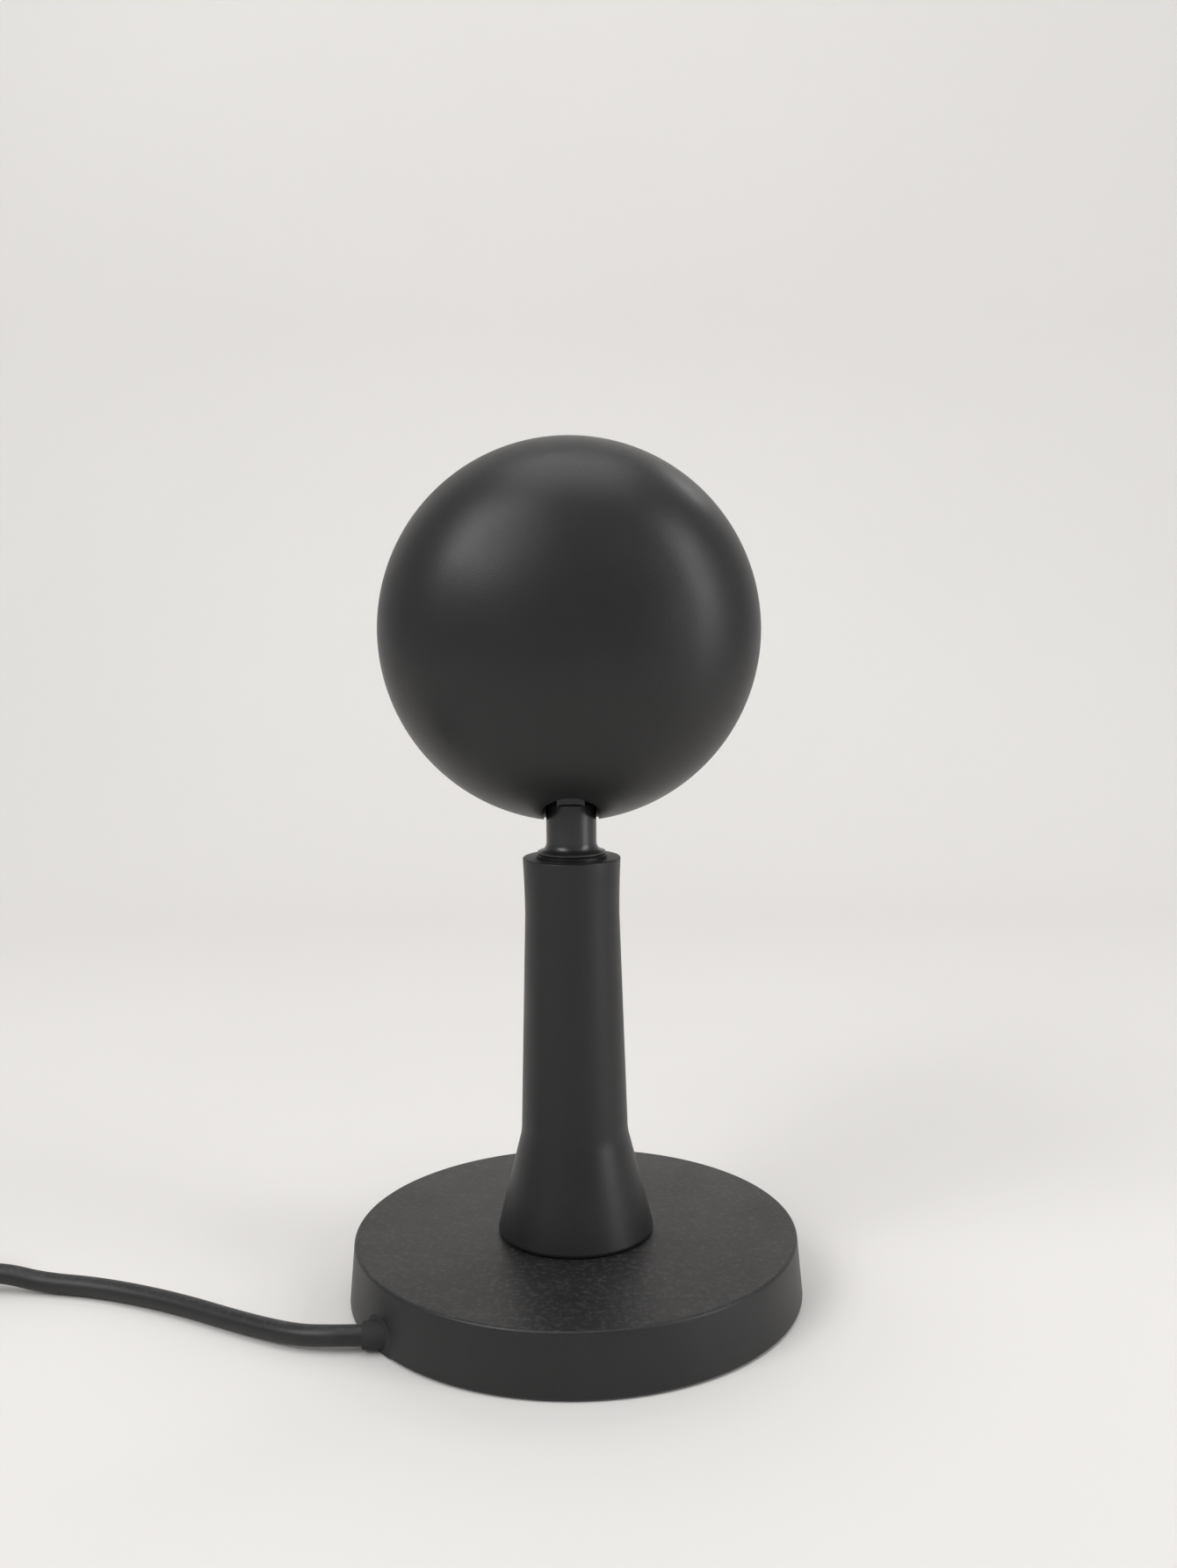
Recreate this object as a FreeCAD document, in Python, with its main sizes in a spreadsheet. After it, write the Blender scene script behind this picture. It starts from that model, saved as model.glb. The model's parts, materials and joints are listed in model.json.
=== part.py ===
"""A sunset projection lamp: a round weighted base, a flared column and a turned neck that carries
a domed head with a projection lens, on a thin lead with an inline switch and a flat plug.

Millimetres, +Z up. The origin is on the surface that the lamp stands on, under the column's axis.
The lens looks along +Y, and the lead leaves the base towards -X.
"""

import FreeCAD, Part
import math
import os

import Sketcher

Vector = FreeCAD.Vector
os.makedirs("parts", exist_ok=True)
doc = FreeCAD.newDocument("sunset_lamp")
sheet = doc.addObject("Spreadsheet::Sheet", "sizes")

# ---------------------------------------------------------------- driving dimensions
SIZES = (
    # base
    ("base_radius", 50.0, "edge of the base's flat top"),
    ("base_height", 14.1, "surface to the base's flat top"),
    ("base_draft", 1.3, "how far the side leans out on its way down"),
    ("base_wall", 2.2, "side wall of the base cover"),
    ("base_roof", 2.2, "top wall of the base cover"),
    ("base_edge", 0.7, "rounding of the base's top edge"),
    ("skirt_gap", 0.5, "surface to the cover's lower rim"),
    ("pad_thickness", 1.2, "foot pad"),
    ("pad_margin", 2.0, "foot pad's edge inside the weight's edge"),
    ("weight_thickness", 7.0, "cast weight disc"),
    ("weight_gap", 0.6, "weight's edge to the cover's wall"),
    ("weight_bore", 28.0, "hole in the middle of the weight"),
    ("boss_circle", 76.0, "circle of the four cover bosses"),
    ("boss_width", 7.0, "diameter of a screw boss"),
    ("screw_bore", 2.5, "pilot hole of the cover's screws"),
    ("screw_shank", 2.9, "shank of the cover's screws"),
    ("screw_head", 5.6, "head of the cover's screws"),
    ("channel_width", 20.0, "radial channel in the weight for the lead"),
    ("channel_turn", 35.0, "degrees from -X to that channel, towards the front"),
    ("notch_depth", 8.0, "half the depth of the cover's notch for the grommet"),
    ("wire_hole", 9.0, "hole for the wires in the roof"),
    ("free_fit", 0.2, "clearance of a screw in its hole, on the radius"),
    ("screw_head_height", 1.8, "head of the cover's screws"),
    ("screw_tip_gap", 0.4, "a screw's tip to the end of its hole"),
    # column
    ("column_top", 99.8, "surface to the column's flat top"),
    ("column_top_radius", 10.85, "column at its flat top"),
    ("column_waist_radius", 10.5, "column at its waist"),
    ("column_waist_height", 87.0, "height of the waist"),
    ("column_low_radius", 12.0, "column where the flare starts"),
    ("column_low_height", 37.3, "height where the flare starts"),
    ("column_foot_radius", 18.1, "column on the base"),
    ("column_wall", 2.4, "wall of the column"),
    ("column_edge", 0.9, "rounding at the column's foot"),
    ("column_web", 5.0, "thickness of the web under the column's top"),
    ("column_lip_radius", 160.0, "arc from the waist out to the column's top"),
    ("flare_bend", 14.0, "radius where the column turns into its flare"),
    ("foot_screw_circle", 24.0, "circle of the three column screws"),
    ("foot_boss_height", 9.0, "column's screw bosses above the base"),
    ("foot_boss_width", 6.4, "column's screw bosses"),
    ("stop_rib", 2.0, "rib under the web that stops the swivel"),
    ("stop_rib_height", 1.5, "that rib's height"),
    ("stop_gap", 0.15, "the stop's tab to a rib at the end of the swivel"),
    ("stop_overlap", 0.9, "how far the tab reaches behind a rib"),
    # swivel
    ("bush_outer", 11.0, "swivel bush in the column's web"),
    ("bush_flange", 15.6, "flange of the bush on the column's top"),
    ("bush_flange_thickness", 0.8, "flange of the bush"),
    ("spigot", 8.0, "neck's spigot in the bush"),
    ("spigot_length", 13.0, "spigot below the neck's foot"),
    ("running_fit", 0.05, "radial clearance of a shaft that turns"),
    ("seat_gap", 0.05, "clearance of flat faces that turn on each other"),
    ("stop_washer_thickness", 1.2, "keyed stop washer"),
    ("stop_washer_radius", 6.2, "keyed stop washer"),
    ("stop_tab", 3.0, "width of its tab"),
    ("stop_reach", 7.6, "reach of its tab from the axis"),
    ("spigot_flat", 0.7, "depth of the spigot's two flats"),
    ("spigot_chamfer", 0.6, "spigot's end"),
    ("key_reach", 1.6, "spigot's flats below the stop washer"),
    ("spring_sheet", 0.5, "sheet of the spring washer"),
    ("spring_washer_height", 1.0, "dished spring washer"),
    ("swivel_nut_thickness", 3.2, "nut on the spigot"),
    ("swivel_nut_flats", 13.0, "across the flats of that nut"),
    # neck
    ("neck_radius", 5.55, "turned neck"),
    ("neck_foot_radius", 7.5, "neck's flared foot"),
    ("neck_flare", 2.3, "height of the flare above the bush"),
    ("neck_foot_land", 0.5, "straight edge of that foot"),
    ("neck_flare_radius", 2.6, "hollow of the flare"),
    ("neck_bore", 4.0, "bore of the neck for the wires"),
    ("wire_outlet", 3.2, "side hole of the neck for the wires"),
    ("wire_outlet_lift", 0.2, "that hole above the tongue's foot"),
    ("tongue_thickness", 6.0, "flat tongue in the fork"),
    ("tongue_radius", 4.8, "tongue round the tilt screw"),
    ("tongue_drop", 8.0, "tilt axis down to where the tongue's flats end"),
    ("neck_rise", 20.2, "column's top to the tilt axis"),
    ("tilt_screw", 4.0, "shoulder of the tilt screw"),
    # head
    ("head_rise", 29.5, "tilt axis to the optical axis"),
    ("head_radius", 42.1, "rear shell"),
    ("shell_wall", 2.2, "wall of the rear shell"),
    ("dome_start", 4.0, "where the dome leaves the cylinder, from the tilt axis"),
    ("shoulder_radius", 28.0, "dome's shoulder"),
    ("cap_radius", 62.0, "dome's flatter middle"),
    ("shell_front", 16.0, "shell's front rim, from the tilt axis"),
    ("slot_side_gap", 0.55, "neck to the side of its slot"),
    ("slot_end_gap", 0.9, "neck to the end of its slot"),
    ("tilt_up", 45.0, "degrees the lens tilts up"),
    ("tilt_down", 15.0, "degrees the lens tilts down"),
    ("bezel_depth", 9.0, "front ring beyond the shell"),
    ("bezel_wall", 2.1, "front ring's front wall"),
    ("lip_thickness", 1.2, "ring's lip over the lens"),
    ("skirt_fit", 0.2, "ring's skirt to the shell, on the radius"),
    ("bezel_edge", 2.2, "rounding of the ring's front edge"),
    ("bezel_mouth", 62.0, "ring's cone at the front"),
    ("skirt_length", 3.3, "ring's skirt inside the shell"),
    ("skirt_wall", 2.0, "wall of that skirt"),
    ("lens_diameter", 50.0, "glass lens"),
    ("lens_edge", 3.0, "edge of the lens"),
    ("lens_crown", 4.8, "height of the lens's curved face"),
    ("lens_fit", 0.3, "lens to its ring, on the radius"),
    ("lens_seat", 17.0, "lens's flat face, from the tilt axis"),
    ("lens_lip", 1.6, "how far the ring's lip covers the lens"),
    ("seal_thickness", 0.8, "ring seal in front of the lens"),
    ("filter_diameter", 30.0, "colour filter disc"),
    ("filter_thickness", 1.5, "colour filter disc"),
    ("filter_rest", 1.2, "width of the filter's seat"),
    ("filter_place", 9.0, "filter's back face, from the tilt axis"),
    ("barrel_radius", 18.5, "barrel round the reflector"),
    ("barrel_wall", 1.6, "wall of the barrel"),
    ("barrel_foot_radius", 21.8, "barrel's foot on the heat sink"),
    ("lug_width", 5.4, "one of the barrel's lugs"),
    ("small_screw", 1.8, "shank of the small screws"),
    ("small_screw_head", 3.2, "head of the small screws"),
    ("small_head_height", 1.2, "head of the small screws"),
    ("sink_screw_place", 20.15, "sink's screws from the optical axis"),
    ("reflector_back", 0.0, "reflector's foot"),
    ("reflector_wall", 0.8, "reflector's wall"),
    ("reflector_gap", 0.3, "reflector to its neighbours"),
    ("chassis_place", 11.0, "chassis plate's back face, from the tilt axis"),
    ("chassis_thickness", 1.5, "chassis plate"),
    ("chassis_gap", 0.4, "chassis plate's edge to the shell"),
    ("boss_gap", 1.9, "barrel's lug to the head of a screw in the shell's bosses"),
    ("head_boss_width", 6.4, "one of those bosses"),
    ("head_pilot_depth", 9.0, "pilot hole in a boss"),
    ("post_rib", 1.8, "rib from a boss to the wall"),
    ("lug_circle", 53.0, "circle of the barrel's three lugs"),
    ("sink_diameter", 44.0, "heat sink"),
    ("sink_plate", 4.0, "heat sink's solid disc"),
    ("sink_fin_height", 10.0, "fins behind it"),
    ("sink_fin_thickness", 1.4, "one fin"),
    ("sink_fin_pitch", 4.2, "fin to fin"),
    ("board_thickness", 1.6, "board of the light source"),
    ("board_diameter", 21.0, "board of the light source"),
    ("emitter_diameter", 9.0, "light source"),
    ("emitter_step", 0.6, "straight edge of the light source"),
    ("led_wire", 1.6, "wires of the light source"),
    ("led_wire_place", 8.3, "those wires from the optical axis"),
    ("driver_width", 30.0, "driver's board"),
    ("driver_depth", 20.0, "driver's board"),
    ("driver_sheet", 1.2, "driver's board and the pad under it"),
    ("driver_part_height", 3.0, "tallest piece on the driver's board"),
    ("fork_plate", 1.5, "sheet of the fork"),
    ("fork_washer", 0.5, "friction washer"),
    ("fork_eye", 6.0, "radius round the tilt screw"),
    ("fork_taper", 1.5, "how much narrower an ear gets towards its plate"),
    ("fork_width", 26.0, "fork's plate"),
    ("fork_screw_place", 9.8, "fork's screws from the middle"),
    ("pivot_head", 7.0, "head of the tilt screw"),
    ("pivot_head_height", 2.2, "head of the tilt screw"),
    ("pivot_screw_end", 0.8, "tilt screw beyond its nut"),
    ("pivot_nut_thickness", 3.0, "nut of the tilt screw"),
    ("pivot_nut_flats", 7.0, "across the flats of that nut"),
    ("drive_slot", 1.0, "slot in the tilt screw's head"),
    # lead, switch and plug
    ("lead_diameter", 4.5, "round lead"),
    ("exit_height", 3.5, "lead's centre where it leaves the base"),
    ("grommet_proud", 2.58, "grommet's outer face beyond the rim at the lead"),
    ("grommet_width", 8.4, "grommet in the cover's notch"),
    ("grommet_depth", 5.8, "grommet each side of the wall's middle"),
    ("grommet_flange", 1.2, "grommet's flange beyond the notch"),
    ("sleeve_wall", 0.6, "grommet's sleeve round the lead"),
    ("tail_straight", 12.6, "lead's straight run in from the grommet's outer face"),
    ("tail_bend_reach", 24.5, "lead's first bend inside the base, from the column's axis"),
    ("tail_bend_front", 25.0, "that bend, towards the front"),
    ("tail_turn_reach", 14.0, "lead's second bend, from the column's axis"),
    ("tail_turn_front", 13.5, "that bend, towards the front"),
    ("tail_end", 11.6, "lead's end under the column, from the axis"),
    ("wire_diameter", 1.4, "one wire in the column"),
    ("wire_pitch", 1.6, "wire to wire"),
    ("wires_rise", 10.2, "column's top to where the wires end in the neck"),
    ("lead_straight", 7.0, "lead's straight run out of the grommet"),
    ("switch_straight", 8.0, "lead's straight run into the switch"),
    ("switch_start", 140.0, "switch's near end from the column's axis"),
    ("switch_length", 46.0, "inline switch"),
    ("switch_width", 16.0, "inline switch"),
    ("switch_height", 10.4, "inline switch"),
    ("switch_wall", 1.3, "wall of the switch case"),
    ("switch_axis", 4.7, "lead's height in the switch"),
    ("switch_joint", 5.2, "height where the case's halves meet"),
    ("switch_corner", 4.0, "round corners of the case"),
    ("switch_edge", 1.0, "rounding of the case's top edge"),
    ("switch_ledge", 1.0, "board above the case's floor"),
    ("switch_board", 1.2, "switch's board"),
    ("switch_board_length", 34.0, "switch's board"),
    ("switch_board_width", 11.0, "switch's board"),
    ("switch_core", 6.0, "key under the button"),
    ("button_play", 0.1, "button's flange to the case and to the key"),
    ("button_flange", 1.0, "button's flange"),
    ("button_edge", 0.6, "rounding of the button's top"),
    ("button_diameter", 9.0, "push button"),
    ("button_travel", 1.2, "push button's travel"),
    ("button_proud", 2.0, "push button above the case"),
    ("coil_inner", 16.6, "innermost place of the coil"),
    ("coil_pitch", 4.95, "turn to turn"),
    ("coil_layer", 4.95, "layer to layer"),
    ("coil_turns_in", 3.5, "turns of the lower layer"),
    ("coil_turns_out", 3.5, "turns of the upper layer"),
    ("coil_run_in", 22.0, "switch's far end to the coil's axis"),
    ("coil_run_out", 30.0, "coil's middle to the plug"),
    ("plug_width", 15.6, "plug's grip"),
    ("plug_height", 7.8, "plug's grip"),
    ("plug_length", 22.0, "plug's grip"),
    ("plug_corner", 2.5, "round corners of the grip"),
    ("plug_tongue", 1.8, "contact carrier"),
    ("shell_width", 12.0, "plug's metal shell"),
    ("shell_height", 4.5, "plug's metal shell"),
    ("shell_length", 12.0, "plug's metal shell"),
    ("shell_sheet", 0.3, "sheet of the metal shell"),
)
for row, (alias, value, note) in enumerate(SIZES, start=1):
    sheet.set(f"A{row}", alias)
    sheet.set(f"B{row}", str(value))
    sheet.set(f"C{row}", note)
    sheet.setAlias(f"B{row}", alias)
doc.recompute()


# ---------------------------------------------------------------- sizes as bound formulas
class Size:
    """A number together with the formula that ties it to the sheet."""

    def __init__(self, text, value):
        self.text = text
        self.value = float(value)

    def __add__(self, other):
        other = as_size(other)
        return Size(f"({self.text} + {other.text})", self.value + other.value)

    def __sub__(self, other):
        other = as_size(other)
        return Size(f"({self.text} - {other.text})", self.value - other.value)

    def __mul__(self, other):
        other = as_size(other)
        return Size(f"({self.text} * {other.text})", self.value * other.value)

    def __truediv__(self, other):
        other = as_size(other)
        return Size(f"({self.text} / {other.text})", self.value / other.value)

    def __neg__(self):
        return Size(f"(0 - {self.text})", -self.value)

    def __radd__(self, other):
        return as_size(other) + self

    def __rsub__(self, other):
        return as_size(other) - self

    def __rmul__(self, other):
        return as_size(other) * self

    def __float__(self):
        return self.value


def as_size(number):
    return number if isinstance(number, Size) else Size(f"({number})", number)


def root_of(size):
    return Size(f"sqrt({size.text})", math.sqrt(size.value))


def sine(size):
    return Size(f"sin({size.text} * 1 deg)", math.sin(math.radians(size.value)))


def cosine(size):
    return Size(f"cos({size.text} * 1 deg)", math.cos(math.radians(size.value)))


class Sizes:
    """Reads the sheet: S.base_radius is the cell's value with its formula."""

    def __getattr__(self, alias):
        return Size(f"sizes.{alias}", sheet.get(alias))


S = Sizes()


def bind(thing, prop, size):
    thing.setExpression(prop, as_size(size).text)


# ---------------------------------------------------------------- sketches and features
def origin_plane(body, role):
    return next(f for f in body.Origin.OriginFeatures if f.Role == role)


def new_sketch(body, name, role, offset=0.0):
    """A sketch on one of the body's own planes, moved along the plane's normal."""
    sketch = body.newObject("Sketcher::SketchObject", name)
    sketch.AttachmentSupport = (origin_plane(body, role), "")
    sketch.MapMode = "FlatFace"
    bind(sketch, "AttachmentOffset.Base.z", offset)
    return sketch


def pin_point(sketch, name, geometry, end, x, y):
    """Ties one end of a sketch element to its place."""
    for kind, size in (("DistanceX", as_size(x)), ("DistanceY", as_size(y))):
        index = sketch.addConstraint(
            Sketcher.Constraint(kind, -1, 1, geometry, end, size.value)
        )
        sketch.renameConstraint(index, f"{name}_{kind[-1].lower()}")
        sketch.setExpression(f"Constraints[{index}]", size.text)


def draw_outline(sketch, points):
    """A closed outline. A point is (x, y), or (x, y, radius) where an arc leads to it: a positive
    radius bulges to the right of the way there and a negative one to the left."""
    count = len(points)
    corners = [Vector(float(as_size(p[0])), float(as_size(p[1])), 0) for p in points]
    ends = []
    for i, point in enumerate(points):
        start, finish = corners[i - 1], corners[i]
        if len(point) == 2:
            sketch.addGeometry(Part.LineSegment(start, finish), False)
            ends.append((1, 2))
            continue
        radius = as_size(point[2])
        turn = 1 if radius.value > 0 else -1
        chord = finish - start
        reach = math.sqrt(max(0.0, radius.value**2 - (chord.Length / 2) ** 2))
        right = Vector(chord.y, -chord.x, 0).normalize()
        centre = (start + finish) * 0.5 - right * (turn * reach)
        first, last = (start, finish) if turn > 0 else (finish, start)
        angles = [math.atan2(end.y - centre.y, end.x - centre.x) for end in (first, last)]
        if angles[1] < angles[0]:
            angles[1] += 2 * math.pi
        circle = Part.Circle(centre, Vector(0, 0, 1), abs(radius.value))
        sketch.addGeometry(Part.ArcOfCircle(circle, *angles), False)
        ends.append((1, 2) if turn > 0 else (2, 1))
        if reach > 1e-6:
            index = sketch.addConstraint(Sketcher.Constraint("Radius", i, abs(radius.value)))
            bound = radius if turn > 0 else -radius
        else:
            # a half circle: its ends give the radius, so its centre is kept on their line
            level = abs(chord.x) > abs(chord.y)
            bound = as_size(point[1] if level else point[0])
            kind = "DistanceY" if level else "DistanceX"
            index = sketch.addConstraint(Sketcher.Constraint(kind, -1, 1, i, 3, bound.value))
        sketch.setExpression(f"Constraints[{index}]", bound.text)
    for i in range(count):
        after = (i + 1) % count
        sketch.addConstraint(
            Sketcher.Constraint("Coincident", i, ends[i][1], after, ends[after][0])
        )
    for i, point in enumerate(points):
        pin_point(sketch, f"p{i}", i, ends[i][1], point[0], point[1])


def draw_circle(sketch, x, y, radius):
    x, y, radius = as_size(x), as_size(y), as_size(radius)
    index = sketch.addGeometry(
        Part.Circle(Vector(x.value, y.value, 0), Vector(0, 0, 1), radius.value), False
    )
    pin_point(sketch, f"c{index}", index, 3, x, y)
    row = sketch.addConstraint(Sketcher.Constraint("Radius", index, radius.value))
    sketch.setExpression(f"Constraints[{row}]", radius.text)


def new_body(label):
    body = doc.addObject("PartDesign::Body", label)
    body.Label = label
    return body


def add_feature(body, kind, name, sketch, length=None, **settings):
    """Adds a sketch-based feature and checks that it changed the solid the right way."""
    before = body.Shape.Volume if body.Tip else 0.0
    feature = body.newObject(f"PartDesign::{kind}", name)
    feature.Profile = sketch
    if length is not None:
        bind(feature, "Length", length)
    for prop, value in settings.items():
        setattr(feature, prop, value)
    doc.recompute()
    after = feature.Shape.Volume
    grows = kind in ("Pad", "Revolution")
    if (after <= before + 1e-6) if grows else (after >= before - 1e-6):
        raise RuntimeError(f"{body.Label}: {name} changed nothing")
    return feature


def turn_profile(body, name, points, kind="Revolution"):
    """A full turn of an outline (radius, height) about the body's own Z axis."""
    sketch = new_sketch(body, f"{name}_outline", "XZ_Plane")
    draw_outline(sketch, points)
    return add_feature(
        body, kind, name, sketch, ReferenceAxis=(sketch, ["V_Axis"]), Angle=360.0
    )


def pad(body, name, role, draw, start, length, reverse=False):
    """Pads what draw puts in a sketch at the start height on the named plane."""
    sketch = new_sketch(body, f"{name}_sketch", role, start)
    draw(sketch)
    return add_feature(body, "Pad", name, sketch, length, Reversed=reverse)


def pocket(body, name, role, draw, start, length, reverse=False):
    """Cuts from the start height down the plane's normal, or up it when reversed."""
    sketch = new_sketch(body, f"{name}_sketch", role, start)
    draw(sketch)
    return add_feature(body, "Pocket", name, sketch, length, Reversed=reverse)


def repeat_round(body, name, feature, count, axis_role="Z_Axis"):
    """Repeats a feature evenly round the body's own axis."""
    axis = origin_plane(body, axis_role)
    pattern = body.newObject("PartDesign::PolarPattern", name)
    pattern.Originals = [feature]
    pattern.Axis = (axis, [""])
    pattern.Angle = 360.0
    pattern.Occurrences = count
    body.Tip = pattern
    doc.recompute()
    return pattern


def soften(body, name, kind, feature, size, chosen):
    """Fillets or chamfers the edges that chosen() picks."""
    edges = [f"Edge{i + 1}" for i, e in enumerate(feature.Shape.Edges) if chosen(e)]
    if not edges:
        raise RuntimeError(f"{body.Label}: {name} found no edge")
    soft = body.newObject(f"PartDesign::{kind}", name)
    soft.Base = (feature, edges)
    bind(soft, "Radius" if kind == "Fillet" else "Size", size)
    doc.recompute()
    return soft


def ring_at(radius, height, slack=0.02):
    """Picks full circles about the Z axis by radius and height."""

    def chosen(edge):
        curve = edge.Curve
        if not isinstance(curve, Part.Circle):
            return False
        off_axis = math.hypot(curve.Center.x, curve.Center.y)
        return (
            off_axis < slack
            and abs(curve.Radius - float(as_size(radius))) < slack
            and abs(curve.Center.z - float(as_size(height))) < slack
        )

    return chosen


def circle_of(x, y, radius):
    return lambda sketch: draw_circle(sketch, x, y, radius)


def polygon_of(*points):
    return lambda sketch: draw_outline(sketch, points)


def rectangle_of(x0, y0, x1, y1):
    return polygon_of((x0, y0), (x1, y0), (x1, y1), (x0, y1))


# ---------------------------------------------------------------- tubes along a route
def route_wire(points):
    """Straight runs joined by tangent arcs, each 0.45 of its shorter run deep. Returns the wire, its
    length and the radii of its arcs."""
    corners = [Vector(*p) for p in points]
    pieces = []
    radii = []
    at = corners[0]
    for before, corner, after in zip(corners, corners[1:], corners[2:]):
        way_in = (corner - before).normalize()
        way_out = (after - corner).normalize()
        half_turn = way_in.getAngle(way_out) / 2
        depth = 0.45 * min(corner.distanceToPoint(before), corner.distanceToPoint(after))
        radius = depth / math.tan(half_turn)
        start = corner - way_in * depth
        finish = corner + way_out * depth
        inward = (way_out - way_in).normalize()
        middle = corner + inward * (radius / math.cos(half_turn) - radius)
        pieces.append(Part.LineSegment(at, start).toShape())
        pieces.append(Part.Arc(start, middle, finish).toShape())
        radii.append(radius)
        at = finish
    pieces.append(Part.LineSegment(at, corners[-1]).toShape())
    wire = Part.Wire(pieces)
    return wire, wire.Length, radii


def tube_along(wire, radius):
    """A round tube along a wire of lines and arcs."""
    first = wire.OrderedEdges[0]
    start = first.valueAt(first.FirstParameter)
    heading = first.tangentAt(first.FirstParameter)
    ring = Part.Wire([Part.Circle(start, heading, radius).toShape()])
    return wire.makePipeShell([ring], True, False)


def tell_route(label, solid, length, radius, radii):
    expected = math.pi * radius**2 * length
    print(f"{label}: {length:.1f} mm long, volume {solid.Volume / expected:.4f} of section x length,"
          f" radii {', '.join(f'{r:.1f}' for r in radii)}")


def new_feature(label, shape):
    """A sub-part whose shape is made in code from the sheet's sizes."""
    thing = doc.addObject("Part::Feature", label)
    thing.Label = label
    thing.Shape = shape
    thing.Placement = FreeCAD.Placement()
    return thing


def primitive(kind, label, places=None, **sizes):
    """A Part primitive with bound sizes; places binds its x, y, z."""
    thing = doc.addObject(f"Part::{kind}", label)
    thing.Label = label
    for prop, size in sizes.items():
        bind(thing, prop, size)
    for axis, place in zip("xyz", places or (0, 0, 0)):
        bind(thing, f"Placement.Base.{axis}", place)
    return thing


def boolean(kind, label, base, tool):
    """Cut, Fuse or Common of two objects."""
    thing = doc.addObject(f"Part::{kind}", label)
    thing.Label = label
    thing.Base = base
    thing.Tool = tool
    return thing


def joined(label, things):
    """Several solids kept apart in one node, such as a set of screws."""
    thing = doc.addObject("Part::Compound", label)
    thing.Label = label
    thing.Links = things
    return thing


# ---------------------------------------------------------------- base
base_rim = S.base_radius + S.base_draft
roof_under = S.base_height - S.base_roof
weight_top = S.pad_thickness + S.weight_thickness
weight_radius = S.base_radius - S.base_wall - S.weight_gap
boss_x = S.boss_circle / 2 * cosine(S.channel_turn + 45)
boss_y = S.boss_circle / 2 * sine(S.channel_turn + 45)
CHANNEL_TURN = S.channel_turn
exit_back = base_rim * cosine(CHANNEL_TURN)
exit_front = base_rim * sine(CHANNEL_TURN)
exit_reach = exit_back + S.grommet_proud
lead_radius = S.lead_diameter / 2


def build_base_cover():
    body = new_body("base_cover")
    cover = turn_profile(
        body,
        "moulding",
        [
            (0, roof_under),
            (S.base_radius - S.base_wall, roof_under),
            (base_rim - S.base_wall, S.skirt_gap),
            (base_rim, S.skirt_gap),
            (S.base_radius, S.base_height),
            (0, S.base_height),
        ],
    )
    soften(body, "top_edge", "Fillet", cover, S.base_edge, ring_at(S.base_radius, S.base_height))
    pocket(body, "wire_hole", "XY_Plane", circle_of(0, 0, S.wire_hole / 2),
           S.base_height, S.base_roof)
    boss = pad(body, "boss", "XY_Plane", circle_of(boss_x, boss_y, S.boss_width / 2),
               weight_top, roof_under - weight_top)
    repeat_round(body, "bosses", boss, 4)
    pilot = pocket(body, "pilot", "XY_Plane", circle_of(boss_x, boss_y, S.screw_bore / 2),
                   weight_top, roof_under - weight_top, reverse=True)
    repeat_round(body, "pilots", pilot, 4)
    hole = pocket(body, "foot_hole", "XY_Plane",
                  circle_of(S.foot_screw_circle / 2, 0, S.screw_shank / 2 + S.free_fit),
                  S.base_height, S.base_roof)
    repeat_round(body, "foot_holes", hole, 3)
    half = S.grommet_width / 2
    pocket(
        body,
        "lead_notch",
        "YZ_Plane",
        polygon_of(
            (-exit_front - half, 0),
            (-exit_front + half, 0),
            (-exit_front + half, S.exit_height),
            (-exit_front - half, S.exit_height, half),
        ),
        -exit_back + S.notch_depth,
        S.notch_depth * 2,
    )
    return body


def build_base_weight():
    body = new_body("base_weight")
    pad(body, "casting", "XY_Plane", circle_of(0, 0, weight_radius),
        S.pad_thickness, S.weight_thickness)
    pocket(body, "middle", "XY_Plane", circle_of(0, 0, S.weight_bore / 2),
           weight_top, S.weight_thickness)
    hole = pocket(body, "screw_hole", "XY_Plane",
                  circle_of(boss_x, boss_y, S.screw_shank / 2 + S.free_fit),
                  weight_top, S.weight_thickness)
    repeat_round(body, "screw_holes", hole, 4)
    seat = pocket(body, "head_seat", "XY_Plane",
                  circle_of(boss_x, boss_y, S.screw_head / 2 + S.free_fit),
                  S.pad_thickness, S.screw_head_height, reverse=True)
    repeat_round(body, "head_seats", seat, 4)
    turn = CHANNEL_TURN
    half = S.channel_width / 2
    far = base_rim
    along = (-far * cosine(turn), -far * sine(turn))
    side = (half * sine(turn), -half * cosine(turn))
    pocket(
        body,
        "channel",
        "XY_Plane",
        polygon_of(
            (-side[0], -side[1]),
            (side[0], side[1]),
            (along[0] + side[0], along[1] + side[1]),
            (along[0] - side[0], along[1] - side[1]),
        ),
        weight_top,
        S.weight_thickness,
    )
    return body


def build_foot_pad():
    body = new_body("foot_pad")
    disc = pad(body, "sheet", "XY_Plane", circle_of(0, 0, weight_radius - S.pad_margin),
               0, S.pad_thickness)
    soften(body, "rim", "Chamfer", disc, S.pad_thickness / 4,
           ring_at(weight_radius - S.pad_margin, 0))
    return body


def screw(label, x, y, head_at, shank_end, head_radius, head_height, shank_radius):
    """A pan screw on a vertical axis: its head's flat at head_at, its shank to shank_end."""
    up = 1 if float(shank_end) > float(head_at) else -1
    head_start = head_at if up < 0 else head_at - head_height
    shank_start = shank_end if up < 0 else head_at
    shank_length = (shank_end - head_at) * up
    head = primitive("Cylinder", f"{label}_head", (x, y, head_start),
                     Radius=head_radius, Height=head_height)
    shank = primitive("Cylinder", f"{label}_shank", (x, y, shank_start),
                      Radius=shank_radius, Height=shank_length)
    return boolean("Fuse", label, head, shank)


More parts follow.
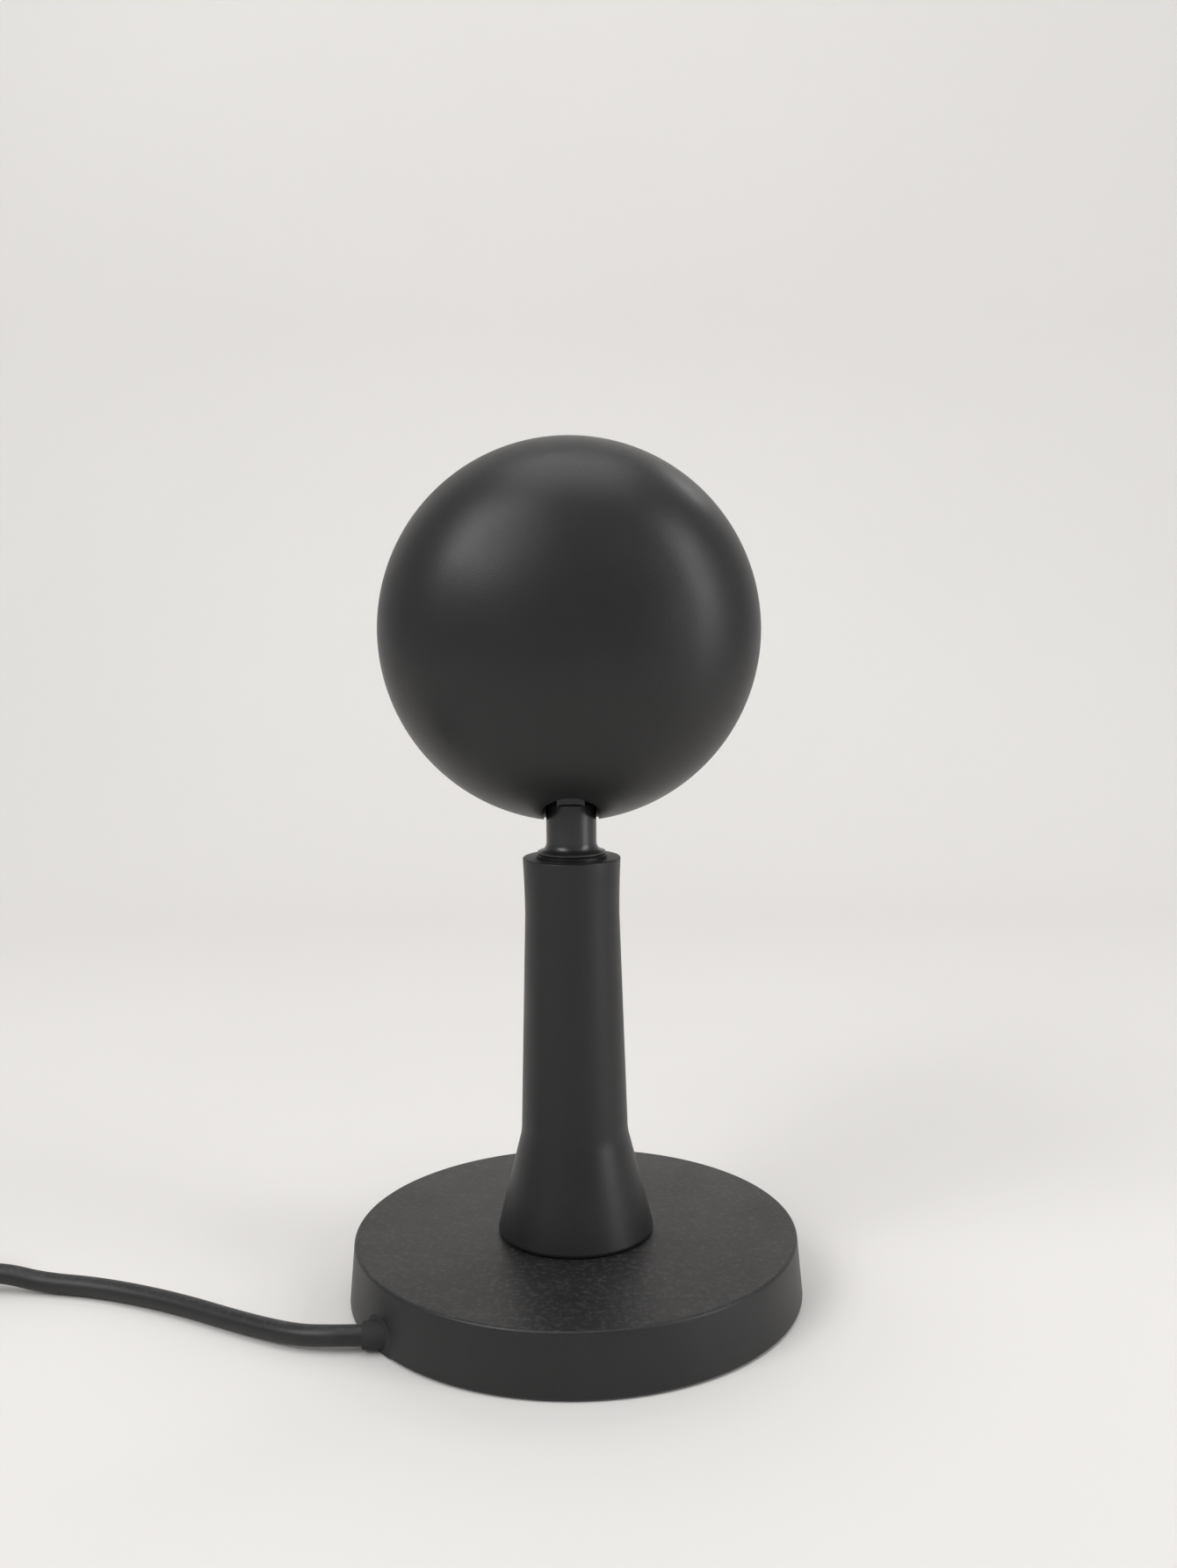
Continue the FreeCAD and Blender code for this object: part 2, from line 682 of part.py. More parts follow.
def build_cover_screws():
    screws = []
    corners = ((boss_x, boss_y), (-boss_y, boss_x), (-boss_x, -boss_y), (boss_y, -boss_x))
    for corner, (x, y) in enumerate(corners):
        screws.append(
            screw(f"cover_screw_{corner}", x, y, S.pad_thickness + S.screw_head_height,
                  roof_under - S.screw_tip_gap, S.screw_head / 2, S.screw_head_height,
                  S.screw_bore / 2)
        )
    return joined("cover_screws", screws)


# ---------------------------------------------------------------- column
web_under = S.column_top - S.column_web
column_inner_top = S.column_waist_radius - S.column_wall
foot_screw_place = S.foot_screw_circle / 2


def build_column():
    body = new_body("column")
    column = turn_profile(
        body,
        "moulding",
        [
            (S.column_foot_radius - S.column_wall, S.base_height),
            (S.column_foot_radius, S.base_height),
            (S.column_low_radius, S.column_low_height),
            (S.column_waist_radius, S.column_waist_height),
            (S.column_top_radius, S.column_top, -S.column_lip_radius),
            (S.bush_outer / 2, S.column_top),
            (S.bush_outer / 2, web_under),
            (column_inner_top, web_under),
            (column_inner_top, S.column_waist_height),
            (S.column_low_radius - S.column_wall, S.column_low_height),
        ],
    )
    bend = soften(body, "flare_bend", "Fillet", column, S.flare_bend,
                  ring_at(S.column_low_radius, S.column_low_height))
    soften(body, "foot_edge", "Fillet", bend, S.column_edge,
           ring_at(S.column_foot_radius, S.base_height))
    boss = pad(body, "foot_boss", "XY_Plane",
               circle_of(foot_screw_place, 0, S.foot_boss_width / 2),
               S.base_height, S.foot_boss_height)
    repeat_round(body, "foot_bosses", boss, 3)
    pilot = pocket(body, "foot_pilot", "XY_Plane",
                   circle_of(foot_screw_place, 0, S.screw_bore / 2),
                   S.base_height, S.foot_boss_height, reverse=True)
    repeat_round(body, "foot_pilots", pilot, 3)
    near = stop_half_width + S.stop_gap
    for side, name in ((1, "right_stop"), (-1, "left_stop")):
        inner = S.stop_reach - S.stop_overlap
        pad(
            body,
            name,
            "XY_Plane",
            rectangle_of(side * inner, near, side * (column_inner_top + S.column_wall / 4),
                         near + S.stop_rib),
            web_under,
            S.stop_rib_height,
            reverse=True,
        )
    return body


def build_column_screws():
    screws = []
    for index in range(3):
        angle = 120 * index
        x = foot_screw_place * cosine(as_size(angle))
        y = foot_screw_place * sine(as_size(angle))
        screws.append(
            screw(f"column_screw_{index}", x, y, roof_under,
                  S.base_height + S.foot_boss_height - S.screw_tip_gap,
                  S.screw_head / 2, S.screw_head_height, S.screw_bore / 2)
        )
    return joined("column_screws", screws)


# ---------------------------------------------------------------- swivel and neck
neck_seat = S.column_top + S.bush_flange_thickness + S.seat_gap
tilt_height = S.column_top + S.neck_rise
optical_height = tilt_height + S.head_rise
spigot_radius = S.spigot / 2
spigot_end = neck_seat - S.spigot_length
stop_half_width = S.stop_tab / 2
stop_top = web_under - S.seat_gap
stop_under = stop_top - S.stop_washer_thickness
spring_under = stop_under - S.spring_washer_height
nut_under = spring_under - S.swivel_nut_thickness
tongue_base = tilt_height - S.tongue_drop
tongue_half = S.tongue_thickness / 2
wire_outlet_height = tongue_base + S.wire_outlet / 2 + S.wire_outlet_lift


def build_swivel_bush():
    body = new_body("swivel_bush")
    bore = spigot_radius + S.running_fit
    bush = turn_profile(
        body,
        "bush",
        [
            (bore, web_under),
            (S.bush_outer / 2, web_under),
            (S.bush_outer / 2, S.column_top),
            (S.bush_flange / 2, S.column_top),
            (S.bush_flange / 2, S.column_top + S.bush_flange_thickness),
            (bore, S.column_top + S.bush_flange_thickness),
        ],
    )
    soften(body, "flange_edge", "Chamfer", bush, S.bush_flange_thickness / 4,
           ring_at(S.bush_flange / 2, S.column_top + S.bush_flange_thickness))
    return body


def build_neck():
    body = new_body("neck")
    foot_land = neck_seat + S.neck_foot_land
    turned = turn_profile(
        body,
        "turning",
        [
            (0, spigot_end),
            (spigot_radius, spigot_end),
            (spigot_radius, neck_seat),
            (S.neck_foot_radius, neck_seat),
            (S.neck_foot_radius, foot_land),
            (S.neck_radius, neck_seat + S.neck_flare, -S.neck_flare_radius),
            (S.neck_radius, tongue_base),
            (0, tongue_base),
        ],
    )
    soften(body, "spigot_chamfer", "Chamfer", turned, S.spigot_chamfer,
           ring_at(spigot_radius, spigot_end))
    # two flats on the spigot key the stop washer
    flat = spigot_radius - S.spigot_flat
    for side, name in ((1, "right_key"), (-1, "left_key")):
        pocket(
            body,
            name,
            "XY_Plane",
            rectangle_of(side * flat, -spigot_radius, side * (spigot_radius + 1), spigot_radius),
            stop_top,
            S.stop_washer_thickness + S.key_reach,
        )
    pad(
        body,
        "tongue",
        "YZ_Plane",
        polygon_of(
            (S.tongue_radius, tongue_base),
            (S.tongue_radius, tilt_height),
            (-S.tongue_radius, tilt_height, S.tongue_radius),
            (-S.tongue_radius, tongue_base),
        ),
        -tongue_half,
        S.tongue_thickness,
    )
    pocket(body, "bore", "XY_Plane", circle_of(0, 0, S.neck_bore / 2), spigot_end,
           wire_outlet_height - spigot_end, reverse=True)
    pocket(body, "eye", "YZ_Plane",
           circle_of(0, tilt_height, S.tilt_screw / 2 + S.running_fit),
           tongue_half, S.tongue_thickness)
    pocket(body, "wire_outlet", "XZ_Plane", circle_of(0, wire_outlet_height, S.wire_outlet / 2),
           0, S.neck_radius * 2)
    return body


def build_stop_washer():
    body = new_body("stop_washer")
    flat = spigot_radius - S.spigot_flat + S.seat_gap
    bow = spigot_radius + S.seat_gap
    round_part = root_of(bow * bow - flat * flat)
    pad(body, "disc", "XY_Plane", circle_of(0, 0, S.stop_washer_radius),
        stop_under, S.stop_washer_thickness)
    pad(body, "tab", "XY_Plane",
        rectangle_of(-stop_half_width, -S.stop_reach, stop_half_width, -spigot_radius),
        stop_under, S.stop_washer_thickness)
    pocket(
        body,
        "keyed_hole",
        "XY_Plane",
        polygon_of(
            (-flat, -round_part),
            (flat, -round_part, bow),
            (flat, round_part),
            (-flat, round_part, bow),
        ),
        stop_top,
        S.stop_washer_thickness,
    )
    return body


def build_spring_washer():
    """A dished washer between the stop washer and the nut."""
    body = new_body("spring_washer")
    inner = spigot_radius + S.free_fit
    outer = S.stop_washer_radius
    sheet_thickness = S.spring_sheet
    turn_profile(
        body,
        "dish",
        [
            (inner, spring_under),
            (inner + sheet_thickness, spring_under),
            (outer, stop_under - sheet_thickness),
            (outer, stop_under),
            (outer - sheet_thickness, stop_under),
            (inner, spring_under + sheet_thickness),
        ],
    )
    return body


def hexagon(across, x=0, y=0):
    """A hexagon's corners, its flats square to X."""
    reach = as_size(across) / 2 / cosine(as_size(30))
    return polygon_of(*[
        (x + reach * cosine(as_size(60 * k + 30)), y + reach * sine(as_size(60 * k + 30)))
        for k in range(6)
    ])


def build_swivel_nut():
    body = new_body("swivel_nut")
    pad(body, "hexagon", "XY_Plane", hexagon(S.swivel_nut_flats), nut_under,
        S.swivel_nut_thickness)
    pocket(body, "thread_bore", "XY_Plane", circle_of(0, 0, spigot_radius), spring_under,
           S.swivel_nut_thickness)
    return body


# ---------------------------------------------------------------- head: frame and shared sizes
# A head body is drawn round its own Z axis, which becomes the optical axis: its z is the place in
# front of the tilt axis, and its y points down.
def face_forward(thing):
    thing.Placement = FreeCAD.Placement(Vector(), FreeCAD.Rotation(Vector(1, 0, 0), -90))
    bind(thing, "Placement.Base.z", optical_height)
    return thing


shoulder_centre = S.head_radius - S.shoulder_radius
centre_gap = S.cap_radius - S.shoulder_radius
cap_centre = S.dome_start + root_of(centre_gap * centre_gap - shoulder_centre * shoulder_centre)
shell_inner = S.head_radius - S.shell_wall
axis_drop = S.head_rise
slot_half = S.neck_radius + S.slot_side_gap
chassis_front = S.chassis_place + S.chassis_thickness
bezel_front = S.shell_front + S.bezel_depth
lens_radius = S.lens_diameter / 2
lens_front = S.lens_seat + S.lens_edge
lip_under = lens_front + S.seal_thickness
lip_radius = lens_radius - S.lens_lip
barrel_inner = S.barrel_radius - S.barrel_wall
cup_radius = lens_radius + S.barrel_wall
lug_place = S.lug_circle / 2
head_boss_place = lug_place + S.lug_width / 2 + S.boss_gap + S.small_screw_head / 2
sink_front = -S.board_thickness
sink_back = sink_front - S.sink_plate
fins_back = sink_back - S.sink_fin_height
filter_radius = S.filter_diameter / 2
fork_inner = tongue_half + S.fork_washer + S.seat_gap * 2
fork_outer = fork_inner + S.fork_plate
fork_back = S.chassis_place - S.fork_plate


def slot_ends():
    """Where the neck's edge meets the shell's outside at the two ends of the tilt."""
    up, down = S.tilt_up, S.tilt_down
    along_y = axis_drop - S.neck_radius * sine(up) - shoulder_centre
    along_z = -S.neck_radius * cosine(up) - S.dome_start
    ahead = along_y * cosine(up) - along_z * sine(up)
    reach = root_of(
        S.shoulder_radius * S.shoulder_radius - along_y * along_y - along_z * along_z
        + ahead * ahead
    ) - ahead
    rear = -S.neck_radius * cosine(up) - reach * sine(up) - S.slot_end_gap
    front = (S.neck_radius + (S.head_radius - axis_drop) * sine(down)) / cosine(down)
    return rear, front + S.slot_end_gap


def dome_solid(name, inset, front):
    """The shell's outside, or its hollow when inset by the wall."""
    body = new_body(name)
    shoulder = S.shoulder_radius - inset
    cap = S.cap_radius - inset
    turn_profile(
        body,
        "dome",
        [
            (0, cap_centre - cap),
            (shoulder_centre * cap / centre_gap,
             cap_centre - (cap_centre - S.dome_start) * cap / centre_gap, cap),
            (S.head_radius - inset, S.dome_start, shoulder),
            (S.head_radius - inset, front),
            (0, front),
        ],
    )
    return body


def build_rear_shell():
    outside = dome_solid("shell_outside", as_size(0), S.shell_front)
    rear, front = slot_ends()
    pocket(
        outside,
        "neck_slot",
        "XZ_Plane",
        polygon_of(
            (slot_half, rear + slot_half, slot_half),
            (slot_half, front - slot_half),
            (-slot_half, front - slot_half, slot_half),
            (-slot_half, rear + slot_half),
        ),
        -axis_drop / 2,
        S.head_radius,
    )
    pilot = pocket(outside, "pilot", "XY_Plane", circle_of(0, -head_boss_place, S.screw_bore / 2),
                   chassis_front, S.head_pilot_depth + S.chassis_thickness)
    repeat_round(outside, "pilots", pilot, 3)
    hollow = dome_solid("shell_hollow", S.shell_wall, S.shell_front + 1)
    depth = S.chassis_place - cap_centre + S.cap_radius
    post = pocket(hollow, "post", "XY_Plane",
                  circle_of(0, -head_boss_place, S.head_boss_width / 2), S.chassis_place, depth)
    repeat_round(hollow, "posts", post, 3)
    rib = pocket(hollow, "rib", "XY_Plane",
                 rectangle_of(-S.post_rib / 2, -S.head_radius, S.post_rib / 2, -head_boss_place),
                 S.chassis_place - S.post_rib, depth)
    repeat_round(hollow, "ribs", rib, 3)
    return face_forward(boolean("Cut", "rear_shell", outside, hollow))


# ---------------------------------------------------------------- head: front ring and optics
def build_front_bezel():
    body = new_body("front_bezel")
    skirt_outer = shell_inner - S.skirt_fit
    skirt_inner = skirt_outer - S.skirt_wall
    mouth = S.bezel_mouth / 2
    lip_front = lip_under + S.lip_thickness
    slope = (bezel_front - lip_front) / (mouth - lip_radius)
    tube_inner = lens_radius + S.lens_fit
    tube_outer = tube_inner + S.skirt_wall
    under_mouth = bezel_front - S.bezel_wall
    under_tube = lip_front + slope * (tube_outer - lip_radius) - S.bezel_wall
    ring = turn_profile(
        body,
        "ring",
        [
            (skirt_inner, S.shell_front - S.skirt_length),
            (skirt_outer, S.shell_front - S.skirt_length),
            (skirt_outer, S.shell_front),
            (S.head_radius, S.shell_front),
            (S.head_radius, bezel_front),
            (mouth, bezel_front),
            (lip_radius, lip_front),
            (lip_radius, lip_under),
            (tube_inner, lip_under),
            (tube_inner, S.lens_seat + S.free_fit),
            (tube_outer, S.lens_seat + S.free_fit),
            (tube_outer, under_tube),
            (mouth, under_mouth),
            (skirt_inner, under_mouth),
        ],
    )
    soften(body, "front_edge", "Fillet", ring, S.bezel_edge, ring_at(S.head_radius, bezel_front))
    return face_forward(body)


def build_lens():
    body = new_body("lens")
    crown_radius = lip_radius - S.lens_fit
    sphere = (crown_radius * crown_radius + S.lens_crown * S.lens_crown) / (S.lens_crown * 2)
    turn_profile(
        body,
        "glass",
        [
            (0, S.lens_seat),
            (lens_radius, S.lens_seat),
            (lens_radius, lens_front),
            (crown_radius, lens_front),
            (0, lens_front + S.lens_crown, sphere),
        ],
    )
    return face_forward(body)


def flat_ring(label, inner, outer, back, thickness):
    """A flat ring or disc of the head about the optical axis."""
    body = new_body(label)
    pad(body, "ring", "XY_Plane", circle_of(0, 0, outer), back, thickness)
    if inner is not None:
        pocket(body, "opening", "XY_Plane", circle_of(0, 0, inner), back + thickness, thickness)
    return face_forward(body)


def build_lens_barrel():
    body = new_body("lens_barrel")
    seat = S.filter_place
    foot_top = sink_front + S.barrel_wall
    cup_back = chassis_front + S.barrel_wall
    turn_profile(
        body,
        "tube",
        [
            (barrel_inner, sink_front),
            (S.barrel_foot_radius, sink_front),
            (S.barrel_foot_radius, foot_top),
            (S.barrel_radius, foot_top),
            (S.barrel_radius, cup_back),
            (cup_radius, S.lens_seat),
            (lip_radius, S.lens_seat),
            (barrel_inner, cup_back),
            (barrel_inner, seat),
            (filter_radius - S.filter_rest, seat),
            (filter_radius - S.filter_rest, seat - S.barrel_wall),
            (barrel_inner, seat - S.barrel_wall),
        ],
    )
    lug = pad(body, "lug", "XY_Plane",
              rectangle_of(-S.lug_width / 2, -lug_place - S.lug_width / 2,
                           S.lug_width / 2, -S.barrel_radius + S.barrel_wall / 2),
              chassis_front, S.barrel_wall)
    repeat_round(body, "lugs", lug, 3)
    hole = pocket(body, "lug_hole", "XY_Plane",
                  circle_of(0, -lug_place, S.small_screw / 2 + S.free_fit),
                  cup_back, S.barrel_wall)
    repeat_round(body, "lug_holes", hole, 3)
    foot_hole = pocket(body, "foot_hole", "XY_Plane",
                       circle_of(0, -S.sink_screw_place, S.small_screw / 2 + S.free_fit),
                       foot_top, S.barrel_wall)
    repeat_round(body, "foot_holes", foot_hole, 3)
    return face_forward(body)


def build_reflector():
    """A thin cone round the light source, its front rim inside the filter's seat."""
    body = new_body("reflector")
    back, front = S.reflector_back, S.filter_place - S.reflector_gap
    inner_back = S.emitter_diameter / 2 + S.reflector_gap
    inner_front = filter_radius - S.filter_rest - S.reflector_wall - S.reflector_gap
    turn_profile(
        body,
        "cone",
        [
            (inner_back, back),
            (inner_back + S.reflector_wall, back),
            (inner_front + S.reflector_wall, front),
            (inner_front, front),
        ],
    )
    pad(body, "foot", "XY_Plane", circle_of(0, 0, inner_back + S.reflector_wall * 2),
        as_size(0), S.reflector_wall)
    pocket(body, "foot_opening", "XY_Plane", circle_of(0, 0, inner_back),
           S.reflector_wall, S.reflector_wall)
    return face_forward(body)


def build_led_board():
    body = new_body("led_board")
    pad(body, "board", "XY_Plane", circle_of(0, 0, S.board_diameter / 2), sink_front,
        S.board_thickness)
    pocket(body, "wire_hole", "XY_Plane", circle_of(S.sink_fin_pitch / 2, -S.led_wire_place,
                                                    S.led_wire / 2 + S.free_fit),
           0, S.board_thickness)
    return face_forward(body)


def build_led_emitter():
    body = new_body("led_emitter")
    half, rise = S.emitter_diameter / 2, S.emitter_step
    turn_profile(
        body,
        "dome",
        [
            (0, 0),
            (half, 0),
            (half, rise),
            (0, rise * 2, (half * half + rise * rise) / (rise * 2)),
        ],
    )
    return face_forward(body)


def build_heat_sink():
    body = new_body("heat_sink")
    radius = S.sink_diameter / 2
    pad(body, "plate", "XY_Plane", circle_of(0, 0, radius), sink_back, S.sink_plate)
    half = S.sink_fin_thickness / 2
    for index in range(-4, 5):
        place = S.sink_fin_pitch * index
        outer = place + half if index >= 0 else place - half
        reach = root_of(radius * radius - outer * outer) - S.free_fit
        pad(body, f"fin_{index + 4}", "XY_Plane",
            rectangle_of(place - half, -reach, place + half, reach), fins_back,
            S.sink_fin_height + S.sink_plate / 2)
    pilot = pocket(body, "pilot", "XY_Plane", circle_of(0, -S.sink_screw_place, S.small_screw / 2),
                   sink_front, S.sink_plate)
    repeat_round(body, "pilots", pilot, 3)
    pocket(body, "wire_hole", "XY_Plane",
           circle_of(S.sink_fin_pitch / 2, -S.led_wire_place, S.led_wire / 2 + S.free_fit),
           sink_front, S.sink_plate)
    return face_forward(body)


def driver_sheet(label, back):
    """A sheet behind the fins: the insulating pad or the driver's board."""
    body = new_body(label)
    pad(body, "sheet", "XY_Plane",
        rectangle_of(-S.driver_width / 2, -S.driver_depth / 2,
                     S.driver_width / 2, S.driver_depth / 2),
        back, S.driver_sheet)
    pocket(body, "wire_hole", "XY_Plane",
           circle_of(S.sink_fin_pitch / 2, -S.led_wire_place, S.led_wire / 2 + S.free_fit),
           back + S.driver_sheet, S.driver_sheet)
    return face_forward(body)


def build_driver_parts():
    """The driver's coil, chip and capacitor on the back of its board."""
    back = fins_back - S.driver_sheet * 2
    boxes = []
    for name, x, y, width, depth, height in (
        ("inductor", -8.5, 1.0, 6.0, 6.0, S.driver_part_height),
        ("chip", 0.5, 2.0, 4.9, 3.9, S.driver_part_height / 2),
        ("diode", 0.5, -3.6, 4.3, 2.6, S.driver_part_height / 1.5),
    ):
        boxes.append(primitive("Box", f"driver_{name}", (x - width / 2, y - depth / 2, back - height),
                               Length=width, Width=depth, Height=height))
    boxes.append(primitive("Cylinder", "driver_capacitor", (8.5, 0.5, back - S.driver_part_height),
                           Radius=2.5, Height=S.driver_part_height))
    return face_forward(joined("driver_parts", boxes))


def build_led_wires():
    place = (S.sink_fin_pitch / 2, -S.led_wire_place, fins_back - S.driver_sheet * 2)
    wires = primitive("Cylinder", "led_wire_pair", place, Radius=S.led_wire / 2,
                      Height=S.driver_sheet * 2 - fins_back + S.emitter_step)
    return face_forward(joined("led_wires", [wires]))


# ---------------------------------------------------------------- head: chassis and tilt joint
def build_chassis_plate():
    body = new_body("chassis_plate")
    pad(body, "plate", "XY_Plane", circle_of(0, 0, shell_inner - S.chassis_gap),
        S.chassis_place, S.chassis_thickness)
    pocket(body, "barrel_hole", "XY_Plane", circle_of(0, 0, S.barrel_radius + S.free_fit),
           chassis_front, S.chassis_thickness)
    for name, place, radius in (
        ("boss_hole", head_boss_place, S.screw_bore / 2 + S.free_fit),
        ("lug_pilot", lug_place, S.small_screw / 2),
    ):
        hole = pocket(body, name, "XY_Plane", circle_of(0, -place, radius),
                      chassis_front, S.chassis_thickness)
        repeat_round(body, f"{name}s", hole, 3)
    for side, name in ((1, "right_fork_hole"), (-1, "left_fork_hole")):
        pocket(body, name, "XY_Plane",
               circle_of(side * S.fork_screw_place, axis_drop, S.small_screw / 2 + S.free_fit),
               chassis_front, S.chassis_thickness)
    return face_forward(body)


def build_pivot_bracket():
    """The fork: a plate behind the chassis and two ears round the neck's tongue."""
    body = new_body("pivot_bracket")
    half = S.fork_width / 2
    pad(body, "plate", "XY_Plane",
        rectangle_of(-half, axis_drop - S.fork_eye, half, axis_drop + S.fork_eye),
        fork_back, S.fork_plate)
    for side, name in ((1, "right"), (-1, "left")):
        pad(
            body,
            f"{name}_ear",
            "YZ_Plane",
            polygon_of(
                (axis_drop + S.fork_eye - S.fork_taper, fork_back + S.fork_plate / 2),
                (axis_drop - S.fork_eye, fork_back + S.fork_plate / 2),
                (axis_drop - S.fork_eye, 0),
                (axis_drop + S.fork_eye, 0, S.fork_eye),
            ),
            fork_inner if side > 0 else -fork_outer,
            S.fork_plate,
        )
        pocket(body, f"{name}_screw_pilot", "XY_Plane",
               circle_of(side * S.fork_screw_place, axis_drop, S.small_screw / 2),
               S.chassis_place, S.fork_plate)
    pocket(body, "pivot_hole", "YZ_Plane", circle_of(axis_drop, 0, S.tilt_screw / 2),
           fork_outer, fork_outer * 2)
    return face_forward(body)


def build_pivot_screw():
    body = new_body("pivot_screw")
    shank_end = fork_outer + S.pivot_nut_thickness + S.pivot_screw_end
    pad(body, "shank", "YZ_Plane", circle_of(axis_drop, 0, S.tilt_screw / 2),
        -shank_end, shank_end + fork_outer)
    pad(body, "head", "YZ_Plane", circle_of(axis_drop, 0, S.pivot_head / 2),
        fork_outer, S.pivot_head_height)
    pocket(body, "drive_slot", "YZ_Plane",
           rectangle_of(axis_drop - S.pivot_head, -S.drive_slot / 2,
                        axis_drop + S.pivot_head, S.drive_slot / 2),
           fork_outer + S.pivot_head_height, S.drive_slot)
    return face_forward(body)


def build_pivot_nut():
    body = new_body("pivot_nut")
    reach = S.pivot_nut_flats / 2 / cosine(as_size(30))
    corners = [(axis_drop + reach * cosine(as_size(60 * k + 30)), reach * sine(as_size(60 * k + 30)))
               for k in range(6)]
    pad(body, "hexagon", "YZ_Plane", polygon_of(*corners),
        -fork_outer - S.pivot_nut_thickness, S.pivot_nut_thickness)
    pocket(body, "bore", "YZ_Plane", circle_of(axis_drop, 0, S.tilt_screw / 2),
           -fork_outer, S.pivot_nut_thickness)
    return face_forward(body)


def build_friction_washers():
    washers = []
    for side, name in ((1, "right_washer"), (-1, "left_washer")):
        body = new_body(name)
        near = tongue_half + S.seat_gap
        start = near if side > 0 else -near - S.fork_washer
        pad(body, "disc", "YZ_Plane", circle_of(axis_drop, 0, S.tongue_radius), start,
            S.fork_washer)
        pocket(body, "bore", "YZ_Plane",
               circle_of(axis_drop, 0, S.tilt_screw / 2 + S.running_fit),
               start + S.fork_washer, S.fork_washer)
        washers.append(body)
    return face_forward(joined("friction_washers", washers))


def ring_of_screws(label, place, head_at, shank_end, small=True):
    """Three screws driven from the front, evenly round the optical axis with one on top."""
    sizes = (
        (S.small_screw_head / 2, S.small_head_height, S.small_screw / 2)
        if small
        else (S.screw_head / 2, S.screw_head_height, S.screw_bore / 2)
    )
    screws = []
    for index in range(3):
        angle = as_size(120 * index - 90)
        screws.append(screw(f"{label}_{index}", place * cosine(angle), place * sine(angle),
                            head_at, shank_end, *sizes))
    return face_forward(joined(label, screws))


def build_bracket_screws():
    screws = [
        screw(name, side * S.fork_screw_place, axis_drop, chassis_front,
              fork_back - S.screw_tip_gap, S.small_screw_head / 2, S.small_head_height,
              S.small_screw / 2)
        for side, name in ((1, "right_bracket_screw"), (-1, "left_bracket_screw"))
    ]
    return face_forward(joined("bracket_screws", screws))


# ---------------------------------------------------------------- lead inside the base
bore_radius = lead_radius + S.running_fit


def grommet_outline(half):
    """The grommet's end view: round on top, straight sides down to the cover's rim."""
    return polygon_of(
        (-exit_front - half, S.skirt_gap),
        (-exit_front + half, S.skirt_gap),
        (-exit_front + half, S.exit_height),
        (-exit_front - half, S.exit_height, half),
    )


def base_cone(label, inset, top):
    """The cover's outside, or its inside when inset by the wall."""
    return primitive("Cone", label, (0, 0, S.skirt_gap), Radius1=base_rim - inset,
                     Radius2=S.base_radius - inset, Height=top - S.skirt_gap)


def build_cord_grommet():
    """A plug in the cover's notch, a flange behind the wall and a short sleeve on the lead."""
    half = S.grommet_width / 2
    inner_face = exit_back - S.grommet_depth
    outer_face = exit_back + S.grommet_depth
    block = new_body("grommet_block")
    pad(block, "block", "YZ_Plane", grommet_outline(half), -outer_face, S.grommet_depth * 2)
    flange = new_body("grommet_flange")
    pad(flange, "flange", "YZ_Plane", grommet_outline(half + S.grommet_flange),
        -outer_face, S.grommet_depth * 2)
    sleeve = new_body("grommet_sleeve")
    pad(sleeve, "sleeve", "YZ_Plane",
        circle_of(-exit_front, S.exit_height, bore_radius + S.sleeve_wall),
        -exit_reach, exit_reach - inner_face)
    plug = boolean("Common", "grommet_plug", block, base_cone("cover_outside", 0, S.base_height))
    collar = boolean("Common", "grommet_collar", flange,
                     base_cone("cover_inside", S.base_wall, roof_under))
    body = boolean("Fuse", "grommet_solid", boolean("Fuse", "grommet_ends", plug, collar), sleeve)
    over_pad = primitive("Cylinder", "pad_space", (0, 0, 0),
                         Radius=weight_radius - S.pad_margin + S.free_fit,
                         Height=S.pad_thickness + S.running_fit)
    bore = new_body("grommet_bore")
    pad(bore, "bore", "YZ_Plane", circle_of(-exit_front, S.exit_height, bore_radius),
        -exit_reach - 1, exit_reach)
    return boolean("Cut", "cord_grommet", boolean("Cut", "grommet_on_pad", body, over_pad), bore)


def tail_points():
    """The lead from the grommet's outer face to where its wires leave it, under the column."""
    x, y, z = -float(exit_reach), -float(exit_front), float(S.exit_height)
    bend = (-float(S.tail_bend_reach), -float(S.tail_bend_front), z)
    turn = Vector(-float(S.tail_turn_reach), -float(S.tail_turn_front), z)
    end = turn * (float(S.tail_end) / math.hypot(turn.x, turn.y))
    return [(x, y, z), (x + float(S.tail_straight), y, z), bend, tuple(turn), (end.x, end.y, z)]


def build_cord_tail():
    wire, length, radii = route_wire(tail_points())
    solid = tube_along(wire, float(lead_radius))
    tell_route("cord_tail", solid, length, float(lead_radius), radii)
    return new_feature("cord_tail", solid)


def build_column_wires():
    """Two wires from the lead's end, up the column's axis and into the neck's bore."""
    _, _, z = tail_points()[0]
    x, y, _ = tail_points()[-1]
    reach = math.hypot(x, y)
    apart = float(S.wire_pitch) / 2
    solids = []
    for side in (1, -1):
        across = Vector(-y / reach, x / reach, 0) * (side * apart)
        points = [Vector(x, y, z) + across, Vector(0, 0, z) + across,
                  Vector(0, 0, float(S.column_top + S.wires_rise)) + across]
        wire, _, _ = route_wire(points)
        solids.append(tube_along(wire, float(S.wire_diameter) / 2))
    return new_feature("column_wires", Part.makeCompound(solids))


# ---------------------------------------------------------------- switch on the lead
switch_end = S.switch_start + S.switch_length
switch_half = S.switch_width / 2
switch_middle = -S.switch_start - S.switch_length / 2
switch_roof_under = S.switch_height - S.switch_wall
button_flange_top = switch_roof_under - S.button_play


